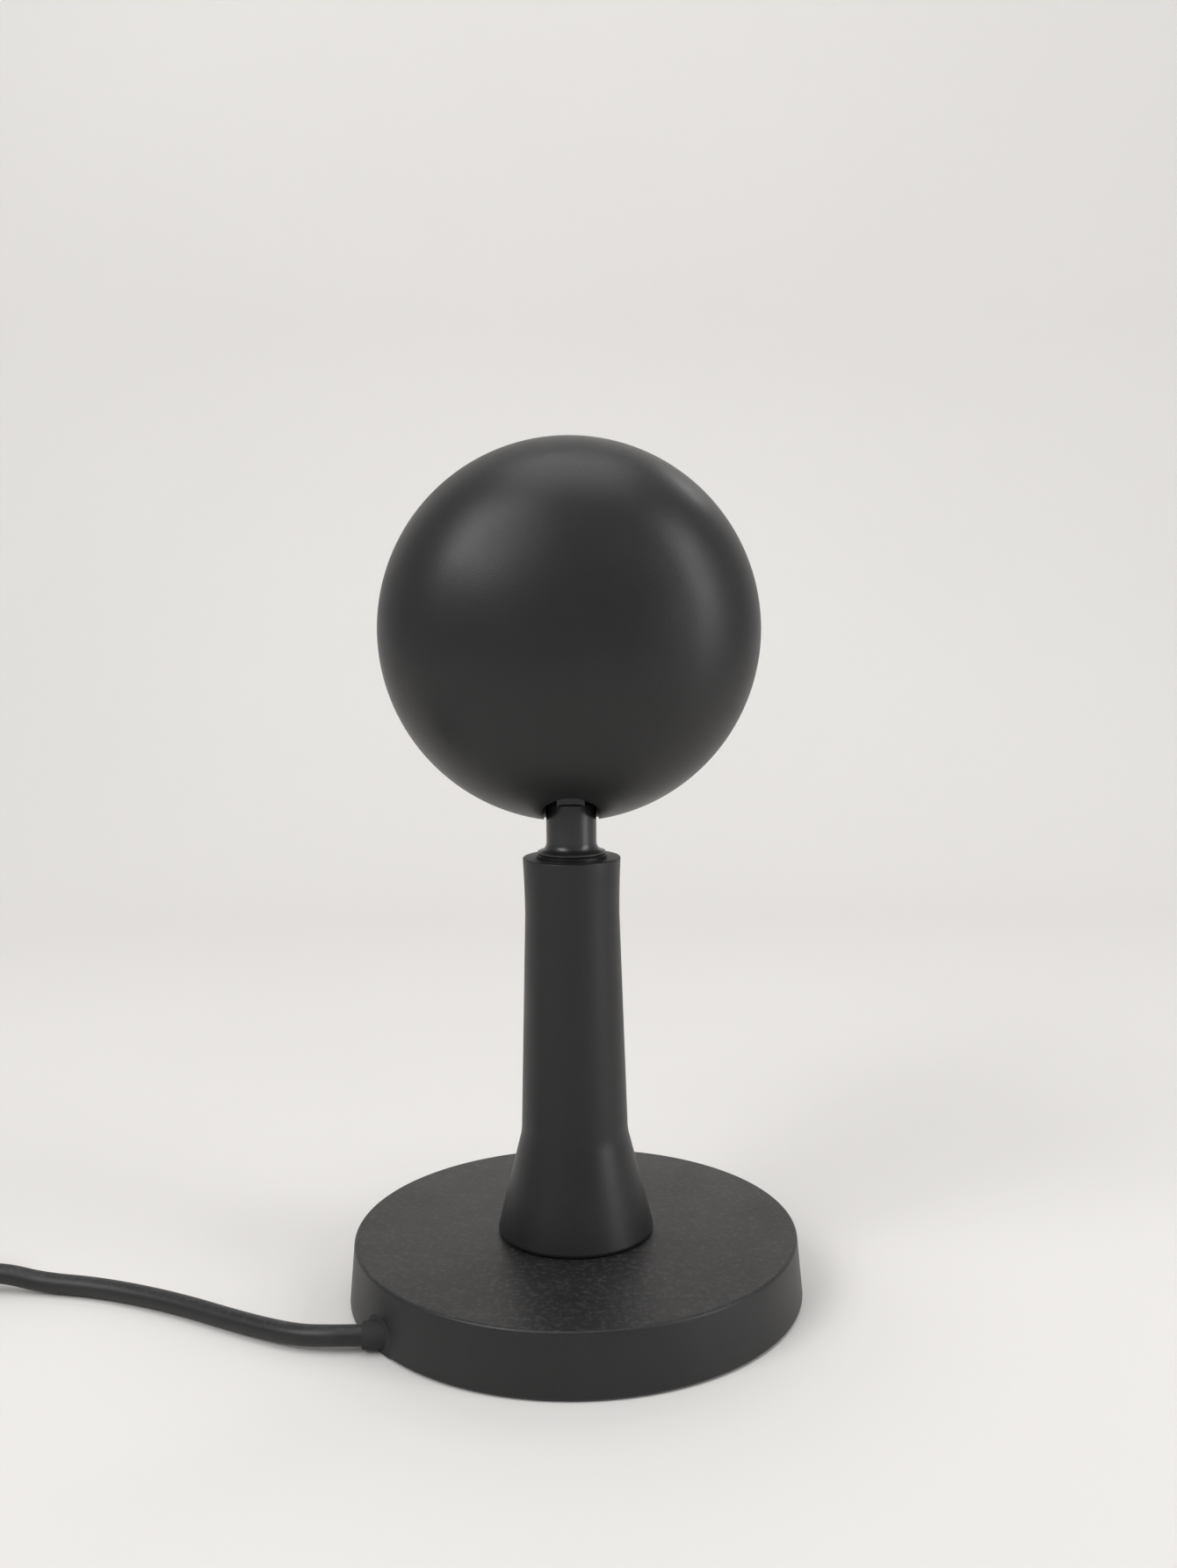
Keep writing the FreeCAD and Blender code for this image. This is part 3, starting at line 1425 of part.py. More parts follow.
def upright_at(corners, slack=0.02):
    """Picks the straight vertical edges at the given corners."""

    def chosen(edge):
        ends = [vertex.Point for vertex in edge.Vertexes]
        if len(ends) < 2 or abs(ends[0].z - ends[1].z) < slack:
            return False
        return any(math.hypot(ends[0].x - float(as_size(x)), ends[0].y - float(as_size(y))) < slack
                   and math.hypot(ends[1].x - float(as_size(x)), ends[1].y - float(as_size(y))) < slack
                   for x, y in corners)

    return chosen


def at_height(height, slack=0.02):
    """Picks every edge that lies flat at a height."""
    return lambda edge: all(abs(v.Point.z - float(as_size(height))) < slack for v in edge.Vertexes)


def case_half(body, bottom, height, opening, depth, upward):
    """Half of the switch's case: a block with round corners, hollowed from its open side."""
    corners = [(-switch_end, -switch_half), (-S.switch_start, -switch_half),
               (-S.switch_start, switch_half), (-switch_end, switch_half)]
    block = pad(body, "block", "XY_Plane", polygon_of(*corners), bottom, height)
    rounded = soften(body, "corners", "Fillet", block, S.switch_corner, upright_at(corners))
    inset = S.switch_wall
    pocket(body, "hollow", "XY_Plane",
           rectangle_of(-switch_end + inset, -switch_half + inset,
                        -S.switch_start - inset, switch_half - inset),
           opening, depth, reverse=upward)
    return rounded


def build_switch_lower():
    body = new_body("switch_lower")
    case_half(body, as_size(0), S.switch_joint, S.switch_joint, S.switch_joint - S.switch_wall,
              False)
    for side, name in ((1, "near_ledge"), (-1, "far_ledge")):
        place = switch_middle + side * S.switch_board_length / 2.4
        pad(body, name, "XY_Plane",
            rectangle_of(place - S.switch_wall, -S.switch_board_width / 2,
                         place + S.switch_wall, S.switch_board_width / 2),
            S.switch_wall / 2, S.switch_wall / 2 + S.switch_ledge)
    return body


def build_switch_upper():
    body = new_body("switch_upper")
    case_half(body, S.switch_joint, S.switch_height - S.switch_joint, S.switch_joint,
              switch_roof_under - S.switch_joint, True)
    hole = pocket(body, "button_hole", "XY_Plane",
                  circle_of(switch_middle, 0, S.button_diameter / 2 + S.running_fit),
                  S.switch_height, S.switch_wall)
    soften(body, "top_edge", "Fillet", hole, S.switch_edge,
           lambda edge: at_height(S.switch_height)(edge) and edge.Length != 0
           and not (isinstance(edge.Curve, Part.Circle)
                    and edge.Curve.Center.distanceToPoint(
                        Vector(float(switch_middle), 0, float(S.switch_height))) < 1))
    return body


def build_switch_button():
    body = new_body("switch_button")
    cap = pad(body, "cap", "XY_Plane", circle_of(switch_middle, 0, S.button_diameter / 2),
              button_flange_top - S.button_flange,
              S.switch_height + S.button_proud - button_flange_top + S.button_flange)
    soften(body, "cap_edge", "Fillet", cap, S.button_edge,
           at_height(S.switch_height + S.button_proud))
    pad(body, "flange", "XY_Plane",
        circle_of(switch_middle, 0, S.button_diameter / 2 + S.button_flange),
        button_flange_top - S.button_flange, S.button_flange)
    return body


def build_switch_board():
    body = new_body("switch_board")
    half = S.switch_board_length / 2
    bottom = S.switch_wall + S.switch_ledge
    pad(body, "board", "XY_Plane",
        rectangle_of(switch_middle - half, -S.switch_board_width / 2,
                     switch_middle + half, S.switch_board_width / 2),
        bottom, S.switch_board)
    core = S.switch_core / 2
    top = button_flange_top - S.button_flange - S.button_travel - S.button_play
    pad(body, "key", "XY_Plane",
        rectangle_of(switch_middle - core, -core, switch_middle + core, core),
        bottom + S.switch_board / 2, top - bottom - S.switch_board / 2)
    return body


# ---------------------------------------------------------------- free lead, coil and plug
# the free lead from the base to its switch, chosen along the photographed curve
LEAD_POINTS = (
    (-59.2, -27.7, 2.8),
    (-71.0, -21.4, 2.25),
    (-89.5, -10.6, 2.25),
    (-108.0, -3.0, 2.25),
    (-122.0, -0.5, 2.3),
)


def lead_points():
    """Square out of the grommet, along the chosen points and straight into the switch."""
    x, y, z = tail_points()[0]
    end_x, end_z = -float(S.switch_start), float(S.switch_axis)
    return [(x, y, z), (x - float(S.lead_straight), y, z), *LEAD_POINTS,
            (end_x + float(S.switch_straight), 0.0, end_z), (end_x, 0.0, end_z)]


def build_cord_lead():
    wire, length, radii = route_wire(lead_points())
    solid = tube_along(wire, float(lead_radius))
    tell_route("cord_lead", solid, length, float(lead_radius), radii)
    return new_feature("cord_lead", solid)


coil_out = S.coil_inner + S.coil_pitch * (S.coil_turns_in + 0.25)
coil_exit = S.coil_inner + S.coil_pitch * (S.coil_turns_out + 0.25)
coil_x = -switch_end - S.coil_run_in
coil_y = -coil_out
plug_y = coil_y - coil_exit
plug_axis = S.plug_height / 2
plug_start = coil_x + S.coil_run_out
plug_end = plug_start + S.plug_length


def coil_nodes():
    """Places and headings on the coil: in on the lower layer, a half turn that climbs and in which
    the spiral reverses, and out on the upper layer, anticlockwise seen from above."""
    pitch, lift = float(S.coil_pitch), float(S.coil_layer)
    turns_in, turns_out = float(S.coil_turns_in), float(S.coil_turns_out)
    middle = turns_in + 0.25
    total = turns_in + 0.5 + turns_out
    counts = [0.5 * k for k in range(int(turns_in * 2) + 1)] + [middle]
    counts += [turns_in + 0.5 + 0.5 * k for k in range(int(turns_out * 2) + 1)]
    if total - counts[-1] > 0.01:
        counts.append(total)
    nodes = []
    for count in counts:
        climb = min(max((count - turns_in) * 2, 0.0), 1.0)
        radius = float(S.coil_inner) + pitch * abs(count - middle)
        height = float(lead_radius) + lift * (1 - math.cos(math.pi * climb)) / 2
        angle = math.pi / 2 + 2 * math.pi * count
        out = Vector(math.cos(angle), math.sin(angle), 0)
        ahead = Vector(-out.y, out.x, 0)
        steady = 0 < count < total and count != middle
        drift = pitch / (2 * math.pi) * (math.copysign(1, count - middle) if steady else 0)
        rise = lift / 2 if count == middle else 0
        place = Vector(float(coil_x), float(coil_y), height) + out * radius
        nodes.append((place, (ahead * radius + out * drift + Vector(0, 0, rise)).normalize()))
    return nodes


def arc_round(start, corner, finish):
    """The arc that touches both sides of a corner at equal distances, and its radius."""
    way_in, way_out = (corner - start).normalize(), (finish - corner).normalize()
    half_turn = way_in.getAngle(way_out) / 2
    radius = corner.distanceToPoint(start) / math.tan(half_turn)
    inward = (way_out - way_in).normalize()
    middle = corner + inward * (radius / math.cos(half_turn) - radius)
    return Part.Arc(start, middle, finish).toShape(), radius


def biarc(before, after):
    """Two arcs from one place and heading to the next."""
    (start, heading), (finish, last_heading) = before, after
    way = finish - start
    both = heading + last_heading
    a, b, c = both.dot(both) - 4, -2 * way.dot(both), way.dot(way)
    depth = -c / b if abs(a) < 1e-9 else (-b - math.sqrt(b * b - 4 * a * c)) / (2 * a)
    corner, last_corner = start + heading * depth, finish - last_heading * depth
    joint = (corner + last_corner) * 0.5
    return [arc_round(start, corner, joint), arc_round(joint, last_corner, finish)]


def build_cord_coil():
    nodes = coil_nodes()
    straight = float(S.lead_diameter)
    entry = Vector(-float(switch_end), 0, float(S.switch_axis))
    entry_bend = entry + Vector(-straight, 0, 0)
    last = nodes[-1][0]
    leave = last + Vector(straight, 0, 0)
    plug_place = Vector(float(plug_start), float(plug_y), float(plug_axis))
    plug_bend = plug_place - Vector(straight, 0, 0)
    arcs = biarc((entry_bend, Vector(-1, 0, 0)), nodes[0])
    for before, after in zip(nodes, nodes[1:]):
        arcs += biarc(before, after)
    run_out = biarc((leave, Vector(1, 0, 0)), (plug_bend, Vector(1, 0, 0)))
    edges = [Part.LineSegment(entry, entry_bend).toShape()] + [edge for edge, _ in arcs]
    edges += [Part.LineSegment(last, leave).toShape()] + [edge for edge, _ in run_out]
    edges += [Part.LineSegment(plug_bend, plug_place).toShape()]
    wire = Part.Wire(edges)
    solid = tube_along(wire, float(lead_radius))
    radii = [radius for _, radius in arcs + run_out]
    expected = math.pi * float(lead_radius) ** 2 * wire.Length
    print(f"cord_coil: {wire.Length:.1f} mm long, volume {solid.Volume / expected:.4f} of section x"
          f" length, tightest radius {min(radii):.1f}, least gap {least_gap(edges):.2f}")
    return new_feature("cord_coil", solid)


def least_gap(edges):
    """The least distance between stretches of the coil, less its diameter, on points."""
    step = 1.5
    points = []
    for edge in edges:
        count = max(2, round(edge.Length / step))
        points += edge.discretize(count + 1)[:-1]
    apart = int(float(S.lead_diameter) * 4 / step)
    nearest = min(
        points[i].distanceToPoint(points[j])
        for i in range(len(points))
        for j in range(i + apart, len(points))
    )
    return nearest - float(S.lead_diameter)


def build_plug_grip():
    body = new_body("plug_grip")
    half = S.plug_width / 2
    corners = [(plug_start, plug_y - half), (plug_end, plug_y - half),
               (plug_end, plug_y + half), (plug_start, plug_y + half)]
    block = pad(body, "block", "XY_Plane", polygon_of(*corners), as_size(0), S.plug_height)
    soften(body, "corners", "Fillet", block, S.plug_corner, upright_at(corners))
    return body


def build_plug_shell():
    body = new_body("plug_shell")
    half, rise = S.shell_width / 2, S.shell_height / 2
    pad(body, "tube", "XY_Plane",
        rectangle_of(plug_end, plug_y - half, plug_end + S.shell_length, plug_y + half),
        plug_axis - rise, S.shell_height)
    pocket(body, "mouth", "YZ_Plane",
           rectangle_of(plug_y - half + S.shell_sheet, plug_axis - rise + S.shell_sheet,
                        plug_y + half - S.shell_sheet, plug_axis + rise - S.shell_sheet),
           plug_end + S.shell_length, S.shell_length)
    return body


def build_plug_tongue():
    """The contact carrier against the upper wall of the plug's shell."""
    body = new_body("plug_tongue")
    half = S.shell_width / 2 - S.shell_sheet
    top = plug_axis + S.shell_height / 2 - S.shell_sheet
    pad(body, "carrier", "XY_Plane",
        rectangle_of(plug_end, plug_y - half, plug_end + S.shell_length - S.shell_sheet,
                     plug_y + half),
        top - S.plug_tongue, S.plug_tongue)
    return body


# ---------------------------------------------------------------- assembly
SUBPARTS = [
    build_base_cover(),
    build_base_weight(),
    build_foot_pad(),
    build_cover_screws(),
    build_column(),
    build_column_screws(),
    build_swivel_bush(),
    build_neck(),
    build_stop_washer(),
    build_spring_washer(),
    build_swivel_nut(),
    build_rear_shell(),
    build_front_bezel(),
    build_lens(),
    flat_ring("lens_seal", lip_radius, lens_radius, lens_front, S.seal_thickness),
    build_lens_barrel(),
    flat_ring("colour_filter", None, filter_radius, S.filter_place, S.filter_thickness),
    flat_ring("filter_ring", filter_radius - S.filter_rest, barrel_inner,
              S.filter_place + S.filter_thickness, S.filter_thickness),
    build_reflector(),
    build_led_board(),
    build_led_emitter(),
    build_heat_sink(),
    driver_sheet("driver_pad", fins_back - S.driver_sheet),
    driver_sheet("driver_board", fins_back - S.driver_sheet * 2),
    build_driver_parts(),
    build_led_wires(),
    build_chassis_plate(),
    build_pivot_bracket(),
    build_pivot_screw(),
    build_pivot_nut(),
    build_friction_washers(),
    ring_of_screws("chassis_screws", head_boss_place, chassis_front,
                   S.chassis_place - S.head_pilot_depth + S.screw_tip_gap, small=False),
    ring_of_screws("barrel_screws", lug_place, chassis_front + S.barrel_wall,
                   S.chassis_place - S.screw_tip_gap),
    ring_of_screws("sink_screws", S.sink_screw_place, sink_front + S.barrel_wall,
                   sink_back + S.screw_tip_gap),
    build_bracket_screws(),
    build_cord_grommet(),
    build_cord_tail(),
    build_column_wires(),
    build_switch_lower(),
    build_switch_upper(),
    build_switch_button(),
    build_switch_board(),
    build_cord_lead(),
    build_cord_coil(),
    build_plug_grip(),
    build_plug_shell(),
    build_plug_tongue(),
]
doc.recompute()
for thing in doc.Objects:
    if "Invalid" in thing.State or "Error" in thing.State:
        raise RuntimeError(f"{thing.Label} is {thing.State}")
for part in SUBPARTS:
    if part.Shape.isNull() or not part.Shape.isValid():
        raise RuntimeError(f"{part.Label} has no valid shape")
for part in SUBPARTS:
    part.Shape.exportStep(f"parts/{part.Label}.step")
    print(part.Label, len(part.Shape.Solids), round(part.Shape.Volume, 1))
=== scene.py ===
"""Looks of the sunset projection lamp: casings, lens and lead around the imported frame.

Metres, +Z up. The lens looks along +Y and the photographed side is the back, seen from -Y.
"""

import json
import math

import bpy
from mathutils import Matrix, Vector


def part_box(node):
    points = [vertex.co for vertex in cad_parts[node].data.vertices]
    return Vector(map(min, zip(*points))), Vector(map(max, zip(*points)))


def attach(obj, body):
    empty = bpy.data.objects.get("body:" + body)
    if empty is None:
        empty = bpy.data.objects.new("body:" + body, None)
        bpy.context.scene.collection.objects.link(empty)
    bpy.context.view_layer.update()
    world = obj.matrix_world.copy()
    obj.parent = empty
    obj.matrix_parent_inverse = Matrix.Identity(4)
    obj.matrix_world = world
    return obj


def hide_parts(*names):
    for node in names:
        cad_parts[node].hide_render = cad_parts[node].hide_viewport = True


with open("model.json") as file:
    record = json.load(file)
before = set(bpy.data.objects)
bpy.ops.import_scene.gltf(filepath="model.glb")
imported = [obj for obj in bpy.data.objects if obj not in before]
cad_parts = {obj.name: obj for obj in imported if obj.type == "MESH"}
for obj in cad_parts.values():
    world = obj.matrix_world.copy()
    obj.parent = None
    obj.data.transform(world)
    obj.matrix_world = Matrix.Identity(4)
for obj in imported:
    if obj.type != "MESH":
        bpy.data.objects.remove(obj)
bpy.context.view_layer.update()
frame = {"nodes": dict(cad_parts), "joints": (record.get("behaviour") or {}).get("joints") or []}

MM = 0.001
FULL_TURN = math.tau
TURN_STEPS = 144
CORNER_STEPS = 8
SMOOTH_ANGLE = math.radians(28)

# ---------------------------------------------------------------- places read from the frame
base_low, base_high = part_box("base_cover")
column_low, column_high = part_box("column")
neck_low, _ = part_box("neck")
shell_low, shell_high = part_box("rear_shell")
bezel_low, bezel_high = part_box("front_bezel")
lens_low, lens_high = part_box("lens")
_, switch_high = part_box("switch_upper")
case_low, case_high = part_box("switch_lower")
button_low, button_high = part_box("switch_button")
grip_low, grip_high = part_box("plug_grip")
plug_low, plug_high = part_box("plug_shell")

HEAD_RADIUS = shell_high.x
HEAD_HEIGHT = (shell_low.z + shell_high.z) / 2
SHELL_FRONT = shell_high.y
TILT_HEIGHT = frame["joints"][1]["pos_m"][2]
LEAD_RADIUS = 2.25 * MM
# where the lead leaves the base, square out of its grommet
EXIT = Vector((-44.602, -29.425, 3.5)) * MM


# ---------------------------------------------------------------- camera, lights and surroundings
def make_camera():
    """The photograph's camera: behind the lamp, near its top and looking slightly down."""
    place = Vector((3.9, -330.9, 156.0)) * MM
    pitch, roll = math.radians(6.90), math.radians(-0.60)
    film, focal = 36.0, 34.75
    ahead = Vector((0, math.cos(pitch), -math.sin(pitch)))
    level, upright = Vector((1, 0, 0)), Vector((0, math.sin(pitch), math.cos(pitch)))
    right = level * math.cos(roll) + upright * math.sin(roll)
    up = upright * math.cos(roll) - level * math.sin(roll)
    data = bpy.data.cameras.new("camera")
    data.sensor_fit = "AUTO"
    data.sensor_width = film
    data.lens = focal
    data.clip_start = 0.01
    camera = bpy.data.objects.new("camera", data)
    bpy.context.scene.collection.objects.link(camera)
    turn = Matrix((right, up, -ahead)).transposed().to_4x4()
    camera.matrix_world = Matrix.Translation(place) @ turn
    bpy.context.scene.camera = camera


def make_light(name, place, target, size, power, colour=(1.0, 1.0, 1.0)):
    data = bpy.data.lights.new(name, "AREA")
    data.shape = "RECTANGLE"
    data.size, data.size_y = size
    data.energy = power
    data.color = colour
    light = bpy.data.objects.new(name, data)
    bpy.context.scene.collection.objects.link(light)
    aim = (Vector(target) - Vector(place)).to_track_quat("-Z", "Y")
    light.matrix_world = Matrix.Translation(Vector(place)) @ aim.to_matrix().to_4x4()


def make_studio():
    """A pale table that runs up into a backdrop, large soft lights and an even pale world."""
    middle = (0, 0, 0.1)
    make_light("key_light", (-0.75, -0.65, 0.95), middle, (0.7, 0.7), 9.0)
    make_light("side_light", (0.85, -0.35, 0.45), middle, (0.35, 0.9), 4.5)
    make_light("rim_light", (0.35, 0.9, 0.75), middle, (0.8, 0.4), 6.0)
    make_light("top_light", (0.0, 0.0, 1.25), middle, (0.9, 0.9), 5.0)
    world = bpy.data.worlds.new("studio")
    bpy.context.scene.world = world
    world.use_nodes = True
    nodes, links = world.node_tree.nodes, world.node_tree.links
    nodes.clear()
    out = nodes.new("ShaderNodeOutputWorld")
    light = nodes.new("ShaderNodeBackground")
    light.inputs["Color"].default_value = (0.92, 0.94, 1.0, 1)
    light.inputs["Strength"].default_value = 0.42
    shown = nodes.new("ShaderNodeBackground")
    shown.inputs["Color"].default_value = (0.80, 0.79, 0.77, 1)
    shown.inputs["Strength"].default_value = 1.0
    path = nodes.new("ShaderNodeLightPath")
    seen = nodes.new("ShaderNodeMath")
    seen.operation = "MAXIMUM"
    mix = nodes.new("ShaderNodeMixShader")
    links.new(path.outputs["Is Camera Ray"], seen.inputs[0])
    links.new(path.outputs["Is Transmission Ray"], seen.inputs[1])
    links.new(seen.outputs[0], mix.inputs[0])
    links.new(light.outputs[0], mix.inputs[1])
    links.new(shown.outputs[0], mix.inputs[2])
    links.new(mix.outputs[0], out.inputs["Surface"])
    bpy.context.scene.view_settings.view_transform = "Standard"

    # the table and the backdrop are one swept sheet
    near, far, rise, half = -1.2, 0.75, 1.6, 1.8
    deselect()
    bpy.ops.mesh.primitive_plane_add(size=1)
    table = bpy.context.object
    table.name = "table"
    bpy.ops.object.mode_set(mode="EDIT")
    bpy.ops.transform.resize(value=(half * 2, far - near, 1))
    bpy.ops.transform.translate(value=(0, (near + far) / 2, 0))
    choose(table, "EDGE", lambda edge: min(v.co.y for v in edge) > far - MM)
    bpy.ops.mesh.extrude_region_move(TRANSFORM_OT_translate={"value": (0, 0, rise)})
    choose(table, "EDGE", lambda edge: all(abs(v.co.y - far) < MM and v.co.z < MM for v in edge))
    bpy.ops.mesh.bevel(offset=0.35, segments=24)
    bpy.ops.object.mode_set(mode="OBJECT")
    smooth(table)
    table.data.materials.append(table_paint())


# ---------------------------------------------------------------- making of meshes
def deselect():
    if bpy.context.object and bpy.context.object.mode != "OBJECT":
        bpy.ops.object.mode_set(mode="OBJECT")
    bpy.ops.object.select_all(action="DESELECT")


def activate(thing):
    deselect()
    thing.select_set(True)
    bpy.context.view_layer.objects.active = thing


def choose(thing, kind, wanted):
    """In edit mode, selects the vertices, edges or faces of a mesh that wanted() picks."""
    bpy.ops.mesh.select_mode(type=kind)
    bpy.ops.mesh.select_all(action="DESELECT")
    bpy.ops.object.mode_set(mode="OBJECT")
    mesh = thing.data
    if kind == "VERT":
        for vertex in mesh.vertices:
            vertex.select = wanted(vertex)
    elif kind == "EDGE":
        for edge in mesh.edges:
            edge.select = wanted([mesh.vertices[i] for i in edge.vertices])
    else:
        for face in mesh.polygons:
            face.select = wanted(face)
    bpy.ops.object.mode_set(mode="EDIT")


def smooth(thing, angle=SMOOTH_ANGLE):
    activate(thing)
    bpy.ops.object.shade_smooth_by_angle(angle=angle)


def apply_modifier(thing, kind, **settings):
    activate(thing)
    modifier = thing.modifiers.new(kind.lower(), kind)
    for name, value in settings.items():
        setattr(modifier, name, value)
    bpy.ops.object.modifier_apply(modifier=modifier.name)


def round_edges(thing, width, segments=3, angle=math.radians(40)):
    apply_modifier(thing, "BEVEL", width=width, segments=segments, limit_method="ANGLE",
                   angle_limit=angle, harden_normals=False)


def cut(thing, *tools, operation="DIFFERENCE"):
    for tool in tools:
        apply_modifier(thing, "BOOLEAN", object=tool, operation=operation, solver="EXACT")
        bpy.data.objects.remove(tool)


def rounded(corners):
    """An outline in millimetres whose corners (x, y, radius) are drawn as arcs."""
    outline = []
    for i, corner in enumerate(corners):
        here = Vector(corner[:2])
        if len(corner) < 3:
            outline.append(here)
            continue
        before = (Vector(corners[i - 1][:2]) - here).normalized()
        after = (Vector(corners[(i + 1) % len(corners)][:2]) - here).normalized()
        half = before.angle(after) / 2
        reach = corner[2] / math.tan(half)
        centre = here + (before + after).normalized() * (corner[2] / math.sin(half))
        first, last = here + before * reach - centre, here + after * reach - centre
        turn = math.pi - 2 * half
        turn *= 1 if first.x * last.y - first.y * last.x > 0 else -1
        for step in range(CORNER_STEPS + 1):
            angle = turn * step / CORNER_STEPS
            cosine, sine = math.cos(angle), math.sin(angle)
            outline.append(centre + Vector((first.x * cosine - first.y * sine,
                                            first.x * sine + first.y * cosine)))
    return outline


def arc(centre, radius, start, finish, steps):
    """Points of an arc in millimetres, its angles in degrees from +X of the outline."""
    angles = [math.radians(start + (finish - start) * k / steps) for k in range(steps + 1)]
    return [Vector((centre[0] + radius * math.cos(a), centre[1] + radius * math.sin(a)))
            for a in angles]


def trace(name, points):
    """A closed line through points, made by extruding one vertex from place to place."""
    deselect()
    bpy.ops.mesh.primitive_plane_add(size=MM)
    thing = bpy.context.object
    thing.name = thing.data.name = name
    bpy.ops.object.mode_set(mode="EDIT")
    bpy.ops.mesh.select_mode(type="VERT")
    bpy.ops.mesh.select_all(action="SELECT")
    bpy.ops.mesh.merge(type="CENTER")
    bpy.ops.transform.translate(value=points[0])
    for before, after in zip(points, points[1:]):
        bpy.ops.mesh.extrude_region_move(TRANSFORM_OT_translate={"value": after - before})
    ends = (points[0], points[-1])
    choose(thing, "VERT", lambda vertex: any((vertex.co - end).length < 1e-7 for end in ends))
    bpy.ops.mesh.edge_face_add()
    bpy.ops.mesh.select_all(action="SELECT")
    return thing


def turned(name, outline, across=None, steps=TURN_STEPS):
    """A closed outline (radius, height) in millimetres turned round the column's axis, or round
    the optical axis where across is its height."""
    if across is None:
        points = [Vector((p.x, 0, p.y)) * MM for p in outline]
        centre, axis = (0, 0, 0), (0, 0, 1)
    else:
        points = [Vector((p.x * MM, p.y * MM, across)) for p in outline]
        centre, axis = (0, 0, across), (0, 1, 0)
    thing = trace(name, points)
    bpy.ops.mesh.spin(steps=steps, angle=FULL_TURN, center=centre, axis=axis)
    bpy.ops.mesh.select_all(action="SELECT")
    bpy.ops.mesh.remove_doubles(threshold=1e-6)
    bpy.ops.mesh.delete_loose(use_verts=True, use_edges=True)
    bpy.ops.mesh.select_all(action="SELECT")
    bpy.ops.mesh.normals_make_consistent(inside=False)
    bpy.ops.object.mode_set(mode="OBJECT")
    smooth(thing)
    return thing


def rod(name, start, finish, radius, steps=48):
    """A round bar between two points in metres, a tool for cuts and joins."""
    start, finish = Vector(start), Vector(finish)
    deselect()
    bpy.ops.mesh.primitive_cylinder_add(vertices=steps, radius=radius,
                                        depth=(finish - start).length)
    thing = bpy.context.object
    thing.name = name
    turn = (finish - start).to_track_quat("Z", "Y").to_matrix().to_4x4()
    thing.data.transform(Matrix.Translation((start + finish) / 2) @ turn)
    return thing


def block(name, low, high):
    """A box between two corners in metres."""
    low, high = Vector(low), Vector(high)
    deselect()
    bpy.ops.mesh.primitive_cube_add(size=1)
    thing = bpy.context.object
    thing.name = thing.data.name = name
    middle, size = (low + high) / 2, high - low
    thing.data.transform(Matrix.Translation(middle) @ Matrix.Diagonal((*size, 1)))
    return thing


def join(first, *others):
    activate(first)
    for other in others:
        other.select_set(True)
    bpy.ops.object.join()
    return first


def hull(name, *things):
    """The convex hull round several things, such as a slot's two round ends."""
    thing = join(*things)
    thing.name = name
    bpy.ops.object.mode_set(mode="EDIT")
    bpy.ops.mesh.select_all(action="SELECT")
    bpy.ops.mesh.convex_hull()
    bpy.ops.object.mode_set(mode="OBJECT")
    return thing


def finish_piece(thing, body, slot, material, *replaced):
    thing.data.materials.clear()
    thing.data.materials.append(material)
    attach(thing, body)
    if replaced:
        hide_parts(*replaced)
    return thing


# ---------------------------------------------------------------- shared surface effects
def new_group(name, inputs, outputs):
    """A shader group with float inputs {name: default} and float outputs."""
    group = bpy.data.node_groups.new(name, "ShaderNodeTree")
    for label, default in inputs.items():
        socket = group.interface.new_socket(label, in_out="INPUT", socket_type="NodeSocketFloat")
        socket.default_value = default
    for label in outputs:
        group.interface.new_socket(label, in_out="OUTPUT", socket_type="NodeSocketFloat")
    return group, group.nodes.new("NodeGroupInput"), group.nodes.new("NodeGroupOutput")


def noise_in(group, scale, place, detail=3.0):
    noise = group.nodes.new("ShaderNodeTexNoise")
    noise.inputs["Detail"].default_value = detail
    group.links.new(place, noise.inputs["Vector"])
    group.links.new(scale, noise.inputs["Scale"])
    return noise.outputs["Fac"]


def spread_in(group, value, low, high, to_low=0.0, to_high=1.0):
    """A value's stretch from low to high spread over a new range."""
    ramp = group.nodes.new("ShaderNodeMapRange")
    for socket, number in (("From Min", low), ("From Max", high), ("To Min", to_low),
                           ("To Max", to_high)):
        ramp.inputs[socket].default_value = number
    group.links.new(value, ramp.inputs["Value"])
    return ramp.outputs["Result"]


def math_in(group, operation, *values):
    node = group.nodes.new("ShaderNodeMath")
    node.operation = operation
    for socket, value in zip(node.inputs, values):
        if isinstance(value, (int, float)):
            socket.default_value = value
        else:
            group.links.new(value, socket)
    return node.outputs[0]


def object_place(group):
    return group.nodes.new("ShaderNodeTexCoord").outputs["Object"]


def moulded_grain():
    """Spark-eroded mould grain: close pits for the height and slow drifts for the roughness."""
    group, given, result = new_group(
        "moulded_grain", {"Grain Scale": 2600.0, "Drift Scale": 40.0, "Roughness": 0.45,
                          "Spread": 0.08}, ("Roughness", "Height"))
    place = object_place(group)
    pits = group.nodes.new("ShaderNodeTexVoronoi")
    group.links.new(place, pits.inputs["Vector"])
    group.links.new(given.outputs["Grain Scale"], pits.inputs["Scale"])
    fine = noise_in(group, given.outputs["Grain Scale"], place, 2.0)
    group.links.new(math_in(group, "MULTIPLY_ADD", pits.outputs["Distance"], 0.6, fine),
                    result.inputs["Height"])
    drift = spread_in(group, noise_in(group, given.outputs["Drift Scale"], place), 0.3, 0.7,
                      -1.0, 1.0)
    shift = math_in(group, "MULTIPLY", drift, given.outputs["Spread"])
    group.links.new(math_in(group, "ADD", given.outputs["Roughness"], shift),
                    result.inputs["Roughness"])
    return group


